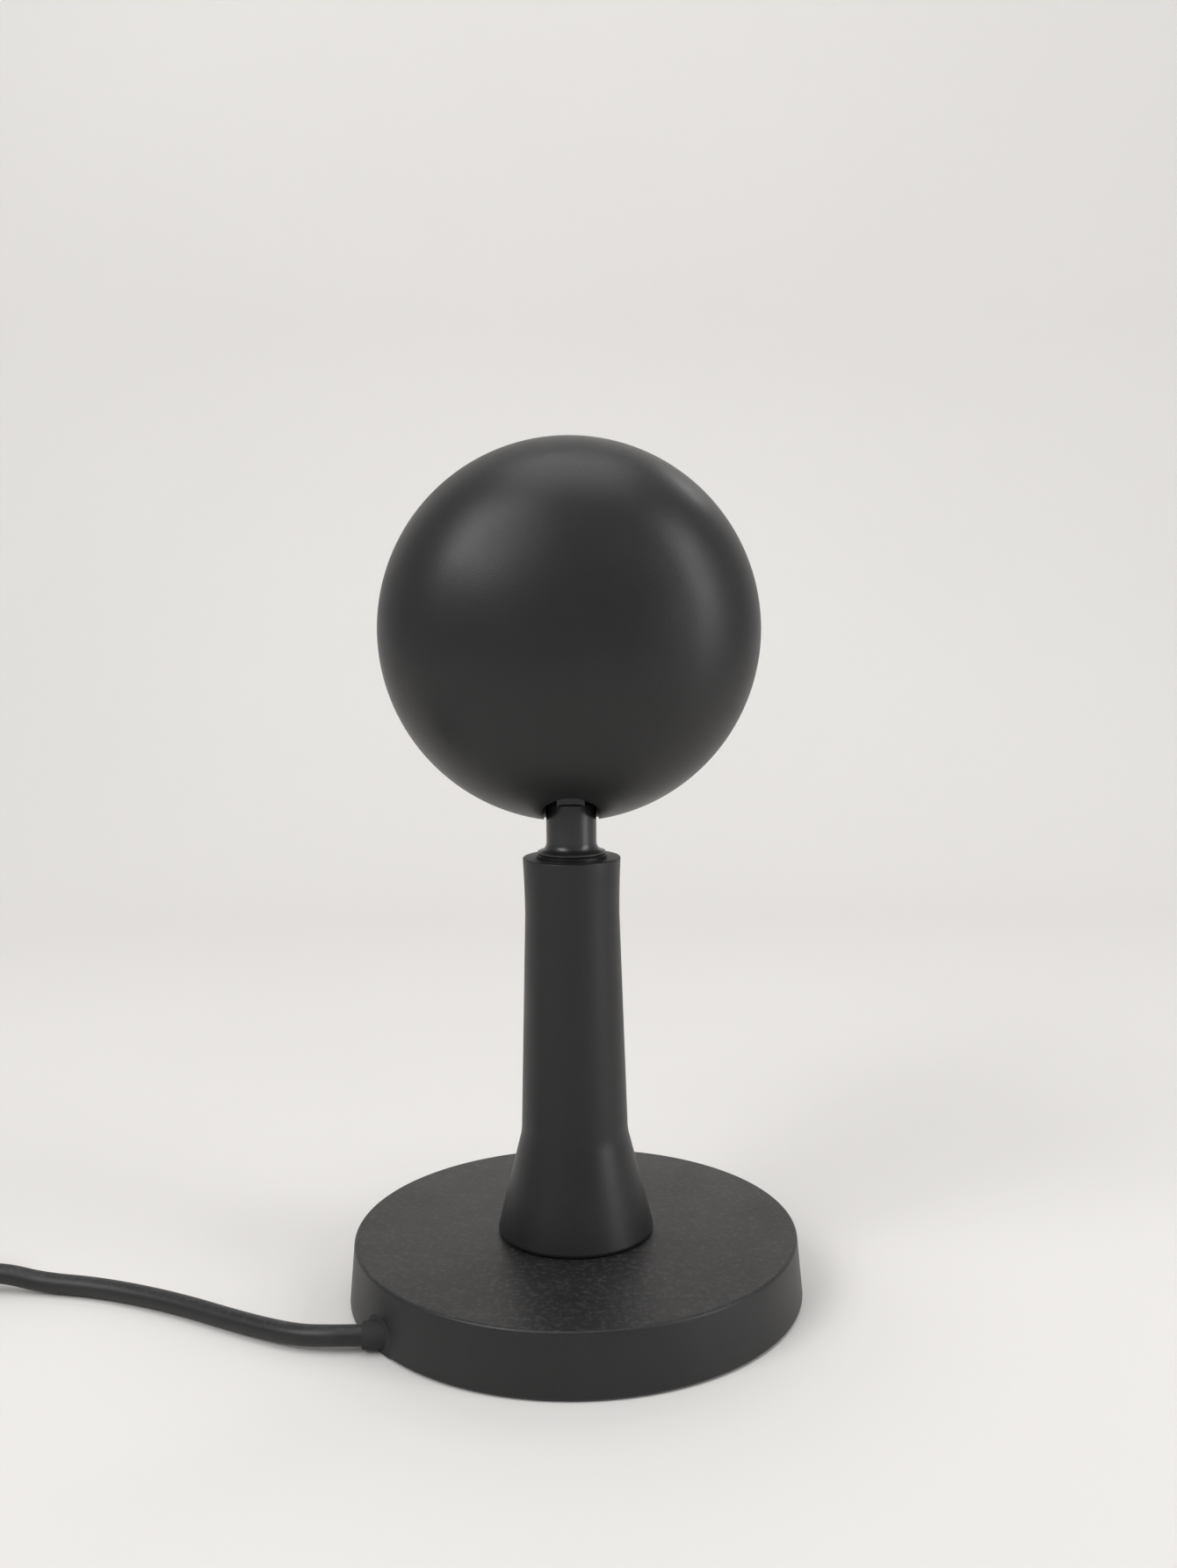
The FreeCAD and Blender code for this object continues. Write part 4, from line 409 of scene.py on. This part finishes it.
def handling_marks():
    """Where hands have rubbed and wiped: a soft patchy mask with a few streaks in it."""
    group, given, result = new_group(
        "handling_marks", {"Scale": 22.0, "Amount": 0.5}, ("Mask",))
    place = object_place(group)
    patches = spread_in(group, noise_in(group, given.outputs["Scale"], place, 4.0), 0.48, 0.72)
    streak_scale = math_in(group, "MULTIPLY", given.outputs["Scale"], 5.0)
    stretch = group.nodes.new("ShaderNodeMapping")
    stretch.inputs["Scale"].default_value = (1.0, 0.35, 0.2)
    group.links.new(place, stretch.inputs["Vector"])
    streaks = spread_in(group, noise_in(group, streak_scale, stretch.outputs["Vector"]), 0.5, 0.8)
    both = math_in(group, "MAXIMUM", patches, math_in(group, "MULTIPLY", streaks, 0.6))
    group.links.new(math_in(group, "MULTIPLY", both, given.outputs["Amount"]),
                    result.inputs["Mask"])
    return group


def settled_dust():
    """Fine dust on what faces up, thinner where the noise is low."""
    group, given, result = new_group("settled_dust", {"Scale": 900.0, "Amount": 0.1}, ("Mask",))
    facing = group.nodes.new("ShaderNodeSeparateXYZ")
    group.links.new(group.nodes.new("ShaderNodeNewGeometry").outputs["Normal"],
                    facing.inputs["Vector"])
    up = spread_in(group, facing.outputs["Z"], 0.55, 1.0)
    specks = spread_in(group, noise_in(group, given.outputs["Scale"], object_place(group), 6.0),
                       0.5, 0.78)
    both = math_in(group, "MULTIPLY", up, specks)
    group.links.new(math_in(group, "MULTIPLY", both, given.outputs["Amount"]),
                    result.inputs["Mask"])
    return group


def drawn_metal():
    """Fine lines along one direction, as rolled, drawn or turned metal has."""
    group, given, result = new_group(
        "drawn_metal", {"Line Scale": 1500.0, "Stretch": 0.05, "Roughness": 0.32,
                        "Spread": 0.1}, ("Roughness", "Height"))
    squeeze = group.nodes.new("ShaderNodeCombineXYZ")
    squeeze.inputs[1].default_value = squeeze.inputs[2].default_value = 1.0
    group.links.new(given.outputs["Stretch"], squeeze.inputs[0])
    along = group.nodes.new("ShaderNodeVectorMath")
    along.operation = "MULTIPLY"
    group.links.new(object_place(group), along.inputs[0])
    group.links.new(squeeze.outputs[0], along.inputs[1])
    lines = noise_in(group, given.outputs["Line Scale"], along.outputs[0], 4.0)
    group.links.new(lines, result.inputs["Height"])
    drift = spread_in(group, lines, 0.3, 0.7, -1.0, 1.0)
    shift = math_in(group, "MULTIPLY", drift, given.outputs["Spread"])
    group.links.new(math_in(group, "ADD", given.outputs["Roughness"], shift),
                    result.inputs["Roughness"])
    return group


GRAIN, MARKS, DUST, METAL = moulded_grain(), handling_marks(), settled_dust(), drawn_metal()


# ---------------------------------------------------------------- materials
def new_material(name):
    material = bpy.data.materials.new(name)
    material.use_nodes = True
    shader = material.node_tree.nodes["Principled BSDF"]
    return material, material.node_tree, shader


def place_group(tree, group, **values):
    node = tree.nodes.new("ShaderNodeGroup")
    node.node_tree = group
    for name, value in values.items():
        node.inputs[name.replace("_", " ")].default_value = value
    return node


def tint(tree, mask, below, above, into):
    """A colour or colour link that turns into another where the mask is high."""
    mix = tree.nodes.new("ShaderNodeMix")
    mix.data_type = "RGBA"
    tree.links.new(mask, mix.inputs[0])
    for socket, colour in ((mix.inputs[6], below), (mix.inputs[7], above)):
        if isinstance(colour, tuple):
            socket.default_value = (*colour, 1.0)
        else:
            tree.links.new(colour, socket)
    if into is not None:
        tree.links.new(mix.outputs[2], into)
    return mix.outputs[2]


def add_bump(tree, shader, height, depth):
    """Bump whose depth is a real one, in millimetres."""
    bump = tree.nodes.new("ShaderNodeBump")
    bump.inputs["Strength"].default_value = 0.6
    bump.inputs["Distance"].default_value = depth * MM
    tree.links.new(height, bump.inputs["Height"])
    tree.links.new(bump.outputs["Normal"], shader.inputs["Normal"])


def moulded(name, colour, worn, roughness, spread=0.06, grain=2600.0, depth=0.03, marks=0.5,
            dust=0.0, specular=0.4):
    """A moulded, painted or rubber surface with its grain, handling marks and dust."""
    material, tree, shader = new_material(name)
    surface = place_group(tree, GRAIN, Grain_Scale=grain, Roughness=roughness, Spread=spread)
    rubbed = place_group(tree, MARKS, Amount=marks)
    tree.links.new(surface.outputs["Roughness"], shader.inputs["Roughness"])
    shown = tint(tree, rubbed.outputs["Mask"], colour, worn, None if dust else
                 shader.inputs["Base Color"])
    if dust:
        settled = place_group(tree, DUST, Amount=dust)
        tint(tree, settled.outputs["Mask"], shown, (0.32, 0.30, 0.28),
             shader.inputs["Base Color"])
    shader.inputs["Specular IOR Level"].default_value = specular
    add_bump(tree, shader, surface.outputs["Height"], depth)
    return material


def metal(name, colour, dull, roughness, spread=0.08, lines=1500.0, depth=0.01, stretch=0.05):
    """A metal with fine lines and slightly duller patches."""
    material, tree, shader = new_material(name)
    surface = place_group(tree, METAL, Line_Scale=lines, Stretch=stretch, Roughness=roughness,
                          Spread=spread)
    rubbed = place_group(tree, MARKS, Scale=60.0, Amount=0.6)
    tree.links.new(surface.outputs["Roughness"], shader.inputs["Roughness"])
    tint(tree, rubbed.outputs["Mask"], colour, dull, shader.inputs["Base Color"])
    shader.inputs["Metallic"].default_value = 1.0
    add_bump(tree, shader, surface.outputs["Height"], depth)
    return material


def clear_glass(name, colour, faint, roughness):
    """Polished glass with the faintest wipe marks in its gloss."""
    material, tree, shader = new_material(name)
    wiped = place_group(tree, MARKS, Scale=35.0, Amount=1.0)
    ramp = tree.nodes.new("ShaderNodeMapRange")
    ramp.inputs["To Min"].default_value = roughness
    ramp.inputs["To Max"].default_value = roughness + 0.03
    tree.links.new(wiped.outputs["Mask"], ramp.inputs["Value"])
    tree.links.new(ramp.outputs["Result"], shader.inputs["Roughness"])
    tint(tree, wiped.outputs["Mask"], colour, faint, shader.inputs["Base Color"])
    shader.inputs["Transmission Weight"].default_value = 1.0
    shader.inputs["IOR"].default_value = 1.5
    return material


def table_paint():
    material, tree, shader = new_material("table_paint")
    surface = place_group(tree, GRAIN, Grain_Scale=350.0, Drift_Scale=3.0, Roughness=0.62,
                          Spread=0.04)
    patchy = place_group(tree, MARKS, Scale=1.5, Amount=0.4)
    tree.links.new(surface.outputs["Roughness"], shader.inputs["Roughness"])
    tint(tree, patchy.outputs["Mask"], (0.72, 0.70, 0.67), (0.68, 0.66, 0.63),
         shader.inputs["Base Color"])
    return material


casing_black = moulded("satin_casing", (0.0105, 0.0100, 0.0100), (0.019, 0.0185, 0.018), 0.43,
                       spread=0.05, depth=0.022, marks=0.55, dust=0.10)
dome_black = moulded("satin_dome", (0.0095, 0.0092, 0.0092), (0.017, 0.0165, 0.016), 0.40,
                     spread=0.05, depth=0.02, marks=0.5, dust=0.08)
neck_black = moulded("neck_lacquer", (0.012, 0.012, 0.012), (0.03, 0.029, 0.028), 0.30,
                     spread=0.07, grain=1500.0, depth=0.008, marks=0.6, specular=0.6)
jacket_black = moulded("lead_jacket", (0.013, 0.0128, 0.0125), (0.026, 0.025, 0.024), 0.44,
                       grain=1800.0, depth=0.02, marks=0.7, dust=0.12)
rubber_black = moulded("rubber", (0.018, 0.018, 0.018), (0.035, 0.034, 0.033), 0.78,
                       grain=1200.0, depth=0.04, marks=0.8)
switch_black = moulded("switch_casing", (0.012, 0.012, 0.012), (0.022, 0.021, 0.021), 0.38,
                       depth=0.02, marks=0.7, dust=0.10)
button_grey = moulded("button_cap", (0.035, 0.035, 0.036), (0.06, 0.06, 0.06), 0.46, marks=0.9,
                      dust=0.06)
nylon_white = moulded("bush_nylon", (0.58, 0.57, 0.53), (0.48, 0.46, 0.42), 0.42, marks=0.4)
carrier_white = moulded("contact_carrier", (0.78, 0.78, 0.77), (0.7, 0.7, 0.68), 0.3, marks=0.3)
cast_weight = moulded("cast_weight", (0.055, 0.053, 0.05), (0.12, 0.09, 0.065), 0.7,
                      grain=500.0, depth=0.15, marks=0.8)
board_green = moulded("board_lacquer", (0.012, 0.11, 0.04), (0.02, 0.15, 0.06), 0.28, marks=0.4)
board_white = moulded("light_board", (0.75, 0.75, 0.73), (0.66, 0.66, 0.62), 0.5, marks=0.5)
chip_black = moulded("component_black", (0.02, 0.02, 0.021), (0.04, 0.04, 0.04), 0.55)
pad_grey = moulded("insulating_sheet", (0.28, 0.31, 0.34), (0.22, 0.25, 0.28), 0.8)
wire_red = moulded("wire_jacket", (0.28, 0.02, 0.015), (0.36, 0.05, 0.03), 0.4)
phosphor = moulded("light_source", (0.78, 0.55, 0.08), (0.86, 0.68, 0.18), 0.35, marks=0.3)
steel = metal("screw_steel", (0.56, 0.56, 0.57), (0.42, 0.42, 0.42), 0.3)
plated = metal("plug_plating", (0.74, 0.74, 0.75), (0.6, 0.6, 0.6), 0.2, spread=0.05)
sheet_steel = metal("sheet_steel", (0.55, 0.55, 0.56), (0.44, 0.44, 0.45), 0.38)
milled = metal("milled_aluminium", (0.78, 0.78, 0.79), (0.66, 0.66, 0.67), 0.34)
anodised = metal("black_anodised", (0.035, 0.035, 0.037), (0.07, 0.07, 0.07), 0.42)
mirror = metal("reflector_plating", (0.88, 0.88, 0.89), (0.8, 0.8, 0.8), 0.08, spread=0.03,
               depth=0.002)
contact_gold = metal("contact_gold", (0.85, 0.62, 0.25), (0.7, 0.5, 0.2), 0.25)
lens_clear = clear_glass("lens_glass", (0.99, 0.99, 0.985), (0.96, 0.965, 0.96), 0.0)
filter_orange = clear_glass("filter_glass", (1.0, 0.36, 0.045), (0.95, 0.32, 0.04), 0.02)

CAD_FINISHES = {
    rubber_black: ("foot_pad", "lens_seal", "cord_grommet", "filter_ring"),
    cast_weight: ("base_weight",),
    steel: ("cover_screws", "column_screws", "pivot_screw", "chassis_screws", "barrel_screws",
            "sink_screws", "bracket_screws", "stop_washer", "spring_washer", "swivel_nut",
            "pivot_nut"),
    nylon_white: ("friction_washers",),
    anodised: ("lens_barrel", "swivel_bush"),
    mirror: ("reflector",),
    milled: ("heat_sink",),
    board_white: ("led_board",),
    phosphor: ("led_emitter",),
    pad_grey: ("driver_pad",),
    board_green: ("driver_board", "switch_board"),
    chip_black: ("driver_parts",),
    wire_red: ("led_wires", "column_wires"),
    sheet_steel: ("chassis_plate", "pivot_bracket"),
    filter_orange: ("colour_filter",),
    jacket_black: ("cord_tail",),
    carrier_white: ("plug_tongue",),
}


def finish_cad_nodes():
    for material, nodes in CAD_FINISHES.items():
        for node in nodes:
            thing = frame["nodes"][node]
            for slot in thing.material_slots:
                slot.material = material


# ---------------------------------------------------------------- base, column and neck
def make_base_casing():
    """The cover: a slightly drafted side, a narrow round edge and the notch for the lead."""
    rim, top = base_high.x / MM, base_high.z / MM
    low, draft, wall = base_low.z / MM, 1.3, 2.2
    hole, under = 4.5, top - wall
    casing = turned("base_casing", rounded([
        (hole, top), (hole, under), (rim - draft - wall, under, 1.0), (rim - wall, low),
        (rim, low, 0.35), (rim - draft, top, 0.75)]))
    notch, reach = 4.2 * MM, 20 * MM
    ends = [(x, EXIT.y, EXIT.z) for x in (base_low.x, base_low.x + reach)]
    upper = rod("notch_round", *ends, notch)
    lower = block("notch_sides", (base_low.x, EXIT.y - notch, -MM),
                  (base_low.x + reach, EXIT.y + notch, EXIT.z))
    cut(casing, upper, lower)
    smooth(casing)
    return finish_piece(casing, "base", "cover", casing_black, "base_cover")


def make_column_casing():
    """The column: a flared foot, a soft bend, a long waist and a slight swell at the top."""
    low, top = column_low.z / MM, column_high.z / MM
    foot, bend, bend_at = column_high.x / MM, 12.0, 37.3
    waist, waist_at, crown, bore = 10.5, 87.0, 10.85, 5.5
    web, wall = 5.0, 2.4
    swell = [Vector((waist + (crown - waist) * share**2, waist_at + (top - waist_at) * share))
             for share in (k / 8 for k in range(1, 7))]
    outline = rounded([
        (bore, top), (bore, top - web), (waist - wall, top - web, 0.6), (waist - wall, waist_at),
        (bend - wall, bend_at, 11.0), (foot - wall, low), (foot, low, 0.9),
        (bend, bend_at, 14.0), (waist, waist_at)])
    crown_edge = rounded([(waist, waist_at), (crown, top, 0.3), (bore, top)])[1:-1]
    casing = turned("column_casing", outline + swell + crown_edge)
    return finish_piece(casing, "base", "cover", casing_black, "column")


def make_neck_turning():
    """The turned neck: flared foot, round bar and the flat tongue that the fork holds."""
    spigot, end = 4.0, neck_low.z / MM
    seat, foot = 100.65, 7.5
    bar, flats, bore, hollow = 5.55, 112.0, 2.0, 2.3
    flare = arc((bar + hollow, seat + 2.6), hollow, 230, 182, 10)
    neck = turned("neck_turning", rounded([
        (bore, end), (spigot, end, 0.5), (spigot, seat), (foot, seat, 0.2), (foot, seat + 0.5),
        *flare, (bar, flats, 0.3), (bore, flats)]), steps=96)
    half, reach, eye, outlet = 3.0 * MM, 4.8 * MM, 2.05 * MM, 1.6 * MM
    outlet_at, beyond = (flats + 1.8) * MM, 10 * MM
    axis_ends = [(side * half, 0, TILT_HEIGHT) for side in (-1, 1)]
    tongue_round = rod("tongue_round", *axis_ends, reach)
    tongue_flat = block("tongue_flat", (-half, -reach, (flats - 0.4) * MM),
                        (half, reach, TILT_HEIGHT))
    cut(neck, hull("tongue", tongue_round, tongue_flat), operation="UNION")
    cut(neck,
        rod("eye", (-beyond, 0, TILT_HEIGHT), (beyond, 0, TILT_HEIGHT), eye),
        rod("bore_end", (0, 0, (flats - 1) * MM), (0, 0, outlet_at), bore * MM),
        rod("wire_outlet", (0, 0, outlet_at), (0, beyond, outlet_at), outlet))
    smooth(neck)
    return finish_piece(neck, "neck", "neck", neck_black, "neck")


# ---------------------------------------------------------------- head
def dome_side(inset, shoulder=28.0, cap=62.0, start=4.0):
    """The shell's side from the pole to its front, in millimetres, inset into the wall."""
    radius = HEAD_RADIUS / MM
    centre = radius - shoulder
    ahead = start + math.sqrt((cap - shoulder) ** 2 - centre**2)
    join_angle = math.degrees(math.asin(centre / (cap - shoulder)))
    pole = arc((0, ahead), cap - inset, -90, -90 + join_angle, 24)
    side = arc((centre, start), shoulder - inset, -90 + join_angle, 0, 24)
    return pole + side[1:] + [Vector((radius - inset, SHELL_FRONT / MM))]


def make_head_dome():
    """The rear shell with its rounded neck slot and the step of its parting line."""
    wall = 2.2
    outside, inside = dome_side(0.0), dome_side(wall)
    front = outside.pop()
    step = [front + Vector((0, -0.5)), front + Vector((-0.35, 0))]
    dome = turned("head_dome", outside + step + inside[::-1], across=HEAD_HEIGHT)
    half, rear, ahead = 6.1 * MM, -14.9 * MM, 10.0 * MM
    below, above = shell_low.z - MM, HEAD_HEIGHT - 15 * MM
    slot = hull("neck_slot", *[
        rod("slot_end", (0, y, below), (0, y, above), half) for y in (rear + half, ahead - half)])
    cut(dome, slot)
    round_edges(dome, 0.25 * MM, segments=2, angle=math.radians(55))
    smooth(dome, math.radians(32))
    return finish_piece(dome, "head", "shell", dome_black, "rear_shell")


def make_screw_posts():
    """The three posts inside the shell, each with a rib to the wall."""
    place, radius, pilot, front = 32.7 * MM, 3.2 * MM, 1.25 * MM, 11.0 * MM
    rib, wall_inside = 0.9 * MM, HEAD_RADIUS - 2.0 * MM
    posts = []
    for turn in (90, 210, 330):
        angle = math.radians(turn)
        x, z = place * math.cos(angle), HEAD_HEIGHT + place * math.sin(angle)
        post = rod("post", (x, -9 * MM, z), (x, front, z), radius)
        cut(post, rod("pilot", (x, 2 * MM, z), (x, front + MM, z), pilot))
        ridge = block("ridge", (place, -2 * MM, -rib), (wall_inside, front - 2 * MM, rib))
        turned_up = Matrix.Translation((0, 0, HEAD_HEIGHT)) @ Matrix.Rotation(-angle, 4, "Y")
        ridge.data.transform(turned_up)
        posts += [post, ridge]
    posts = join(*posts)
    posts.name = "screw_posts"
    smooth(posts)
    return finish_piece(posts, "head", "shell", dome_black)


def make_front_ring():
    """The front ring: skirt, rounded rim, stepped cone towards the lens and a lip over it."""
    radius, front, back = bezel_high.x / MM, bezel_high.y / MM, SHELL_FRONT / MM
    skirt, skirt_wall, skirt_back = 39.7, 2.0, bezel_low.y / MM
    lip, lip_under, lip_front, mouth = 23.4, 20.8, 22.0, 31.0
    tube, tube_back, wall = 25.3, 17.2, 2.1
    steps, outline = 6, []
    for k in range(steps):
        # fine steps in the cone keep stray light off the wall
        low, high = k / steps, (k + 1) / steps
        outline.append((mouth - (mouth - lip) * low, front - (front - lip_front) * low))
        outline.append((mouth - (mouth - lip) * high, front - (front - lip_front) * low - 0.06))
    ring = turned("front_ring", rounded([
        (skirt - skirt_wall, skirt_back), (skirt, skirt_back, 0.3), (skirt, back),
        (radius - 0.35, back), (radius, back + 0.5), (radius, front, 2.2)]
        + [(mouth + 0.8, front, 0.5)] + outline
        + [(lip, lip_front), (lip, lip_under), (tube, lip_under), (tube, tube_back),
           (tube + skirt_wall, tube_back), (tube + skirt_wall, lip_front - 0.6),
           (mouth, front - wall), (skirt - skirt_wall, front - wall, 0.8)]),
        across=HEAD_HEIGHT)
    return finish_piece(ring, "head", "shell", dome_black, "front_bezel")


def make_lens():
    """The projection lens: flat behind, domed in front, its rims lightly bevelled."""
    radius, back, front = lens_high.x / MM, lens_low.y / MM, lens_high.y / MM
    edge, crown = back + 3.0, 23.1
    rise = front - edge
    sphere = (crown**2 + rise**2) / (2 * rise)
    reach = math.degrees(math.asin(crown / sphere))
    outline = rounded([(0, back), (radius, back, 0.3), (radius, edge, 0.3), (crown, edge)])
    outline += arc((0, front - sphere), sphere, 90 - reach, 90, 32)[1:]
    return finish_piece(turned("projection_lens", outline, across=HEAD_HEIGHT), "head", "lens",
                        lens_clear, "lens")


# ---------------------------------------------------------------- lead, switch and plug
def make_cord(name, points, material):
    """A round cord: one open NURBS curve through its route, in metres."""
    curve = bpy.data.curves.new(name, "CURVE")
    curve.dimensions = "3D"
    curve.bevel_depth = LEAD_RADIUS
    curve.bevel_resolution = 8
    curve.use_fill_caps = True
    spline = curve.splines.new("NURBS")
    spline.points.add(len(points) - 1)
    for point, place in zip(spline.points, points):
        point.co = (*[value * MM for value in place], 1)
    spline.order_u = 3
    spline.use_endpoint_u = True
    spline.resolution_u = 6
    curve.materials.append(material)
    cord = bpy.data.objects.new(name, curve)
    bpy.context.scene.collection.objects.link(cord)
    return cord


def near_route():
    """From the base's grommet along the table to the switch."""
    x, y, z = EXIT / MM
    return [(x, y, z), (x - 3.6, y, z), (x - 7.9, -29.3, 3.45), (-59.2, -27.7, 2.9),
            (-71.0, -21.4, 2.3), (-89.5, -10.6, 2.25), (-108.0, -3.0, 2.25),
            (-122.0, -0.5, 2.4), (-130.0, 0.0, 4.3), (-135.5, 0.0, 4.7), (-140.0, 0.0, 4.7)]


def far_route():
    """From the switch into the flat two-layer coil and out to the plug beside it."""
    middle_x, middle_y, turns, per_turn = -208.0, -35.1625, 7.5, 16
    inner, pitch, layer, floor = 16.6, 4.95, 4.95, 2.25
    route = [(-186.0, 0.0, 4.7), (-190.5, 0.0, 4.7), (-195.5, 0.0, 4.2), (-202.0, 0.0, 2.7)]
    for step in range(int(turns * per_turn) + 1):
        count = step / per_turn
        angle = math.radians(90 + 360 * count)
        radius = inner + pitch * abs(count - 3.75)
        # a smooth curve of this kind runs a little inside its control points
        reach = radius / (1 - (1 - math.cos(math.tau / per_turn)) / 4)
        climb = min(1.0, max(0.0, (count - 3.5) * 2))
        route.append((middle_x + reach * math.cos(angle), middle_y + reach * math.sin(angle),
                      floor + layer * (1 - math.cos(math.pi * climb)) / 2))
    side = 2 * middle_y
    return route + [(-201.7, side, 7.15), (-195.0, side, 6.6), (-189.0, side, 5.3),
                    (-184.0, side, 4.2), (-180.0, side, 3.9), (-178.0, side, 3.9)]


def make_switch():
    """Both moulded halves with round corners, the parting groove and a ring round the button."""
    x0, x1 = case_low.x, case_high.x
    half, joint, top = case_high.y, case_high.z, switch_high.z
    pieces = []
    for name, low, high, node, edge in (
            ("switch_bottom_shell", 0.0, joint - 0.12 * MM, "switch_lower", 0.5 * MM),
            ("switch_top_shell", joint + 0.12 * MM, top, "switch_upper", 1.2 * MM)):
        shell = block(name, (x0, -half, low), (x1, half, high))
        activate(shell)
        bpy.ops.object.mode_set(mode="EDIT")
        choose(shell, "EDGE", lambda ends: abs(ends[0].co.z - ends[1].co.z) > MM)
        bpy.ops.mesh.bevel(offset=4.0 * MM, segments=12)
        outer = high if node == "switch_upper" else low
        choose(shell, "EDGE", lambda ends: all(abs(v.co.z - outer) < 0.01 * MM for v in ends))
        bpy.ops.mesh.bevel(offset=edge, segments=5)
        bpy.ops.object.mode_set(mode="OBJECT")
        hollow = block("hollow", (x0 + 1.3 * MM, -half + 1.3 * MM, 1.3 * MM),
                       (x1 - 1.3 * MM, half - 1.3 * MM, top - 1.3 * MM))
        ends = rod("lead_passage", (x0 - MM, 0, 4.7 * MM), (x1 + MM, 0, 4.7 * MM),
                   LEAD_RADIUS + 0.1 * MM)
        cut(shell, hollow, ends)
        pieces.append((shell, node))
    middle = (button_low + button_high) / 2
    upper = pieces[1][0]
    radius = 4.55 * MM
    cut(upper, rod("button_hole", (middle.x, 0, top - 3 * MM), (middle.x, 0, top + MM), radius),
        rod("button_dish", (middle.x, 0, top - 0.35 * MM), (middle.x, 0, top + MM), 5.9 * MM))
    for shell, node in pieces:
        smooth(shell)
        finish_piece(shell, "base", "switch", switch_black, node)
    button = turned("push_button", rounded([
        (0, 8.2), (5.4, 8.2), (5.4, 9.0), (4.5, 9.0), (4.5, button_high.z / MM, 0.6),
        (2.6, button_high.z / MM, 0.4), (2.2, button_high.z / MM - 0.25, 0.3),
        (0, button_high.z / MM - 0.45)]), steps=64)
    button.data.transform(Matrix.Translation((middle.x, 0, 0)))
    finish_piece(button, "button", "button", button_grey, "switch_button")
    return [shell for shell, _ in pieces]


def round_along(thing, radius):
    """Rounds the long edges of a block that lies along X."""
    activate(thing)
    bpy.ops.object.mode_set(mode="EDIT")
    choose(thing, "EDGE", lambda ends: abs(ends[0].co.x - ends[1].co.x) > MM)
    bpy.ops.mesh.bevel(offset=radius, segments=8)
    bpy.ops.object.mode_set(mode="OBJECT")


def make_plug():
    """The moulded grip with its finger grooves and the metal shell with its latch holes."""
    middle, axis = (grip_low.y + grip_high.y) / 2, (plug_low.z + plug_high.z) / 2
    grip = block("plug_body", grip_low, grip_high)
    round_along(grip, 2.5 * MM)
    for k in range(4):
        at = grip_low.x + (4.5 + 2.4 * k) * MM
        for edge in (grip_low.y, grip_high.y):
            cut(grip, block("groove", (at, edge - 0.5 * MM, grip_low.z - MM),
                            (at + MM, edge + 0.5 * MM, grip_high.z + MM)))
    cut(grip, rod("lead_passage", (grip_low.x - MM, middle, axis),
                  (grip_low.x + 6 * MM, middle, axis), LEAD_RADIUS + 0.05 * MM))
    round_edges(grip, 0.25 * MM, segments=2)
    smooth(grip)
    finish_piece(grip, "base", "grip", switch_black, "plug_grip")

    sheet = 0.3 * MM
    shell = block("plug_sleeve", plug_low, plug_high)
    round_along(shell, 0.5 * MM)
    inside = block("inside", (plug_low.x - MM, plug_low.y + sheet, plug_low.z + sheet),
                   (plug_high.x + MM, plug_high.y - sheet, plug_high.z - sheet))
    holes = [block("latch_hole", (plug_high.x - 7.2 * MM, y - 1.1 * MM, plug_low.z - MM),
                   (plug_high.x - 5.0 * MM, y + 1.1 * MM, plug_high.z + MM))
             for y in (middle - 2.3 * MM, middle + 2.3 * MM)]
    seam = block("seam", (plug_low.x - MM, middle - 0.05 * MM, plug_low.z - MM),
                 (plug_high.x + MM, middle + 0.05 * MM, plug_low.z + 0.15 * MM))
    cut(shell, inside, *holes, seam)
    smooth(shell)
    finish_piece(shell, "base", "contact", plated, "plug_shell")

    tongue_low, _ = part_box("plug_tongue")
    strips = [block("contact_strip",
                    (plug_high.x - 8.4 * MM, middle + (place - 0.5) * MM, tongue_low.z - 0.1 * MM),
                    (plug_high.x - front * MM, middle + (place + 0.5) * MM, tongue_low.z))
              for place, front in ((-3.5, 1.2), (-1.0, 2.2), (1.0, 2.2), (3.5, 1.2))]
    contacts = join(*strips)
    contacts.name = "contact_strips"
    round_edges(contacts, 0.04 * MM, segments=2)
    finish_piece(contacts, "base", "contact", contact_gold)
    return [grip, shell, contacts]


# ---------------------------------------------------------------- assembly
make_camera()
make_studio()
finish_cad_nodes()
near_lead = make_cord("lead_to_switch", near_route(), jacket_black)
far_lead = make_cord("lead_to_plug", far_route(), jacket_black)
switch_pieces = make_switch()
plug_pieces = make_plug()
for lead, node in ((near_lead, "cord_lead"), (far_lead, "cord_coil")):
    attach(lead, "base")
    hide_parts(node)

make_base_casing()
make_column_casing()
make_neck_turning()
make_head_dome()
make_screw_posts()
make_front_ring()
make_lens()
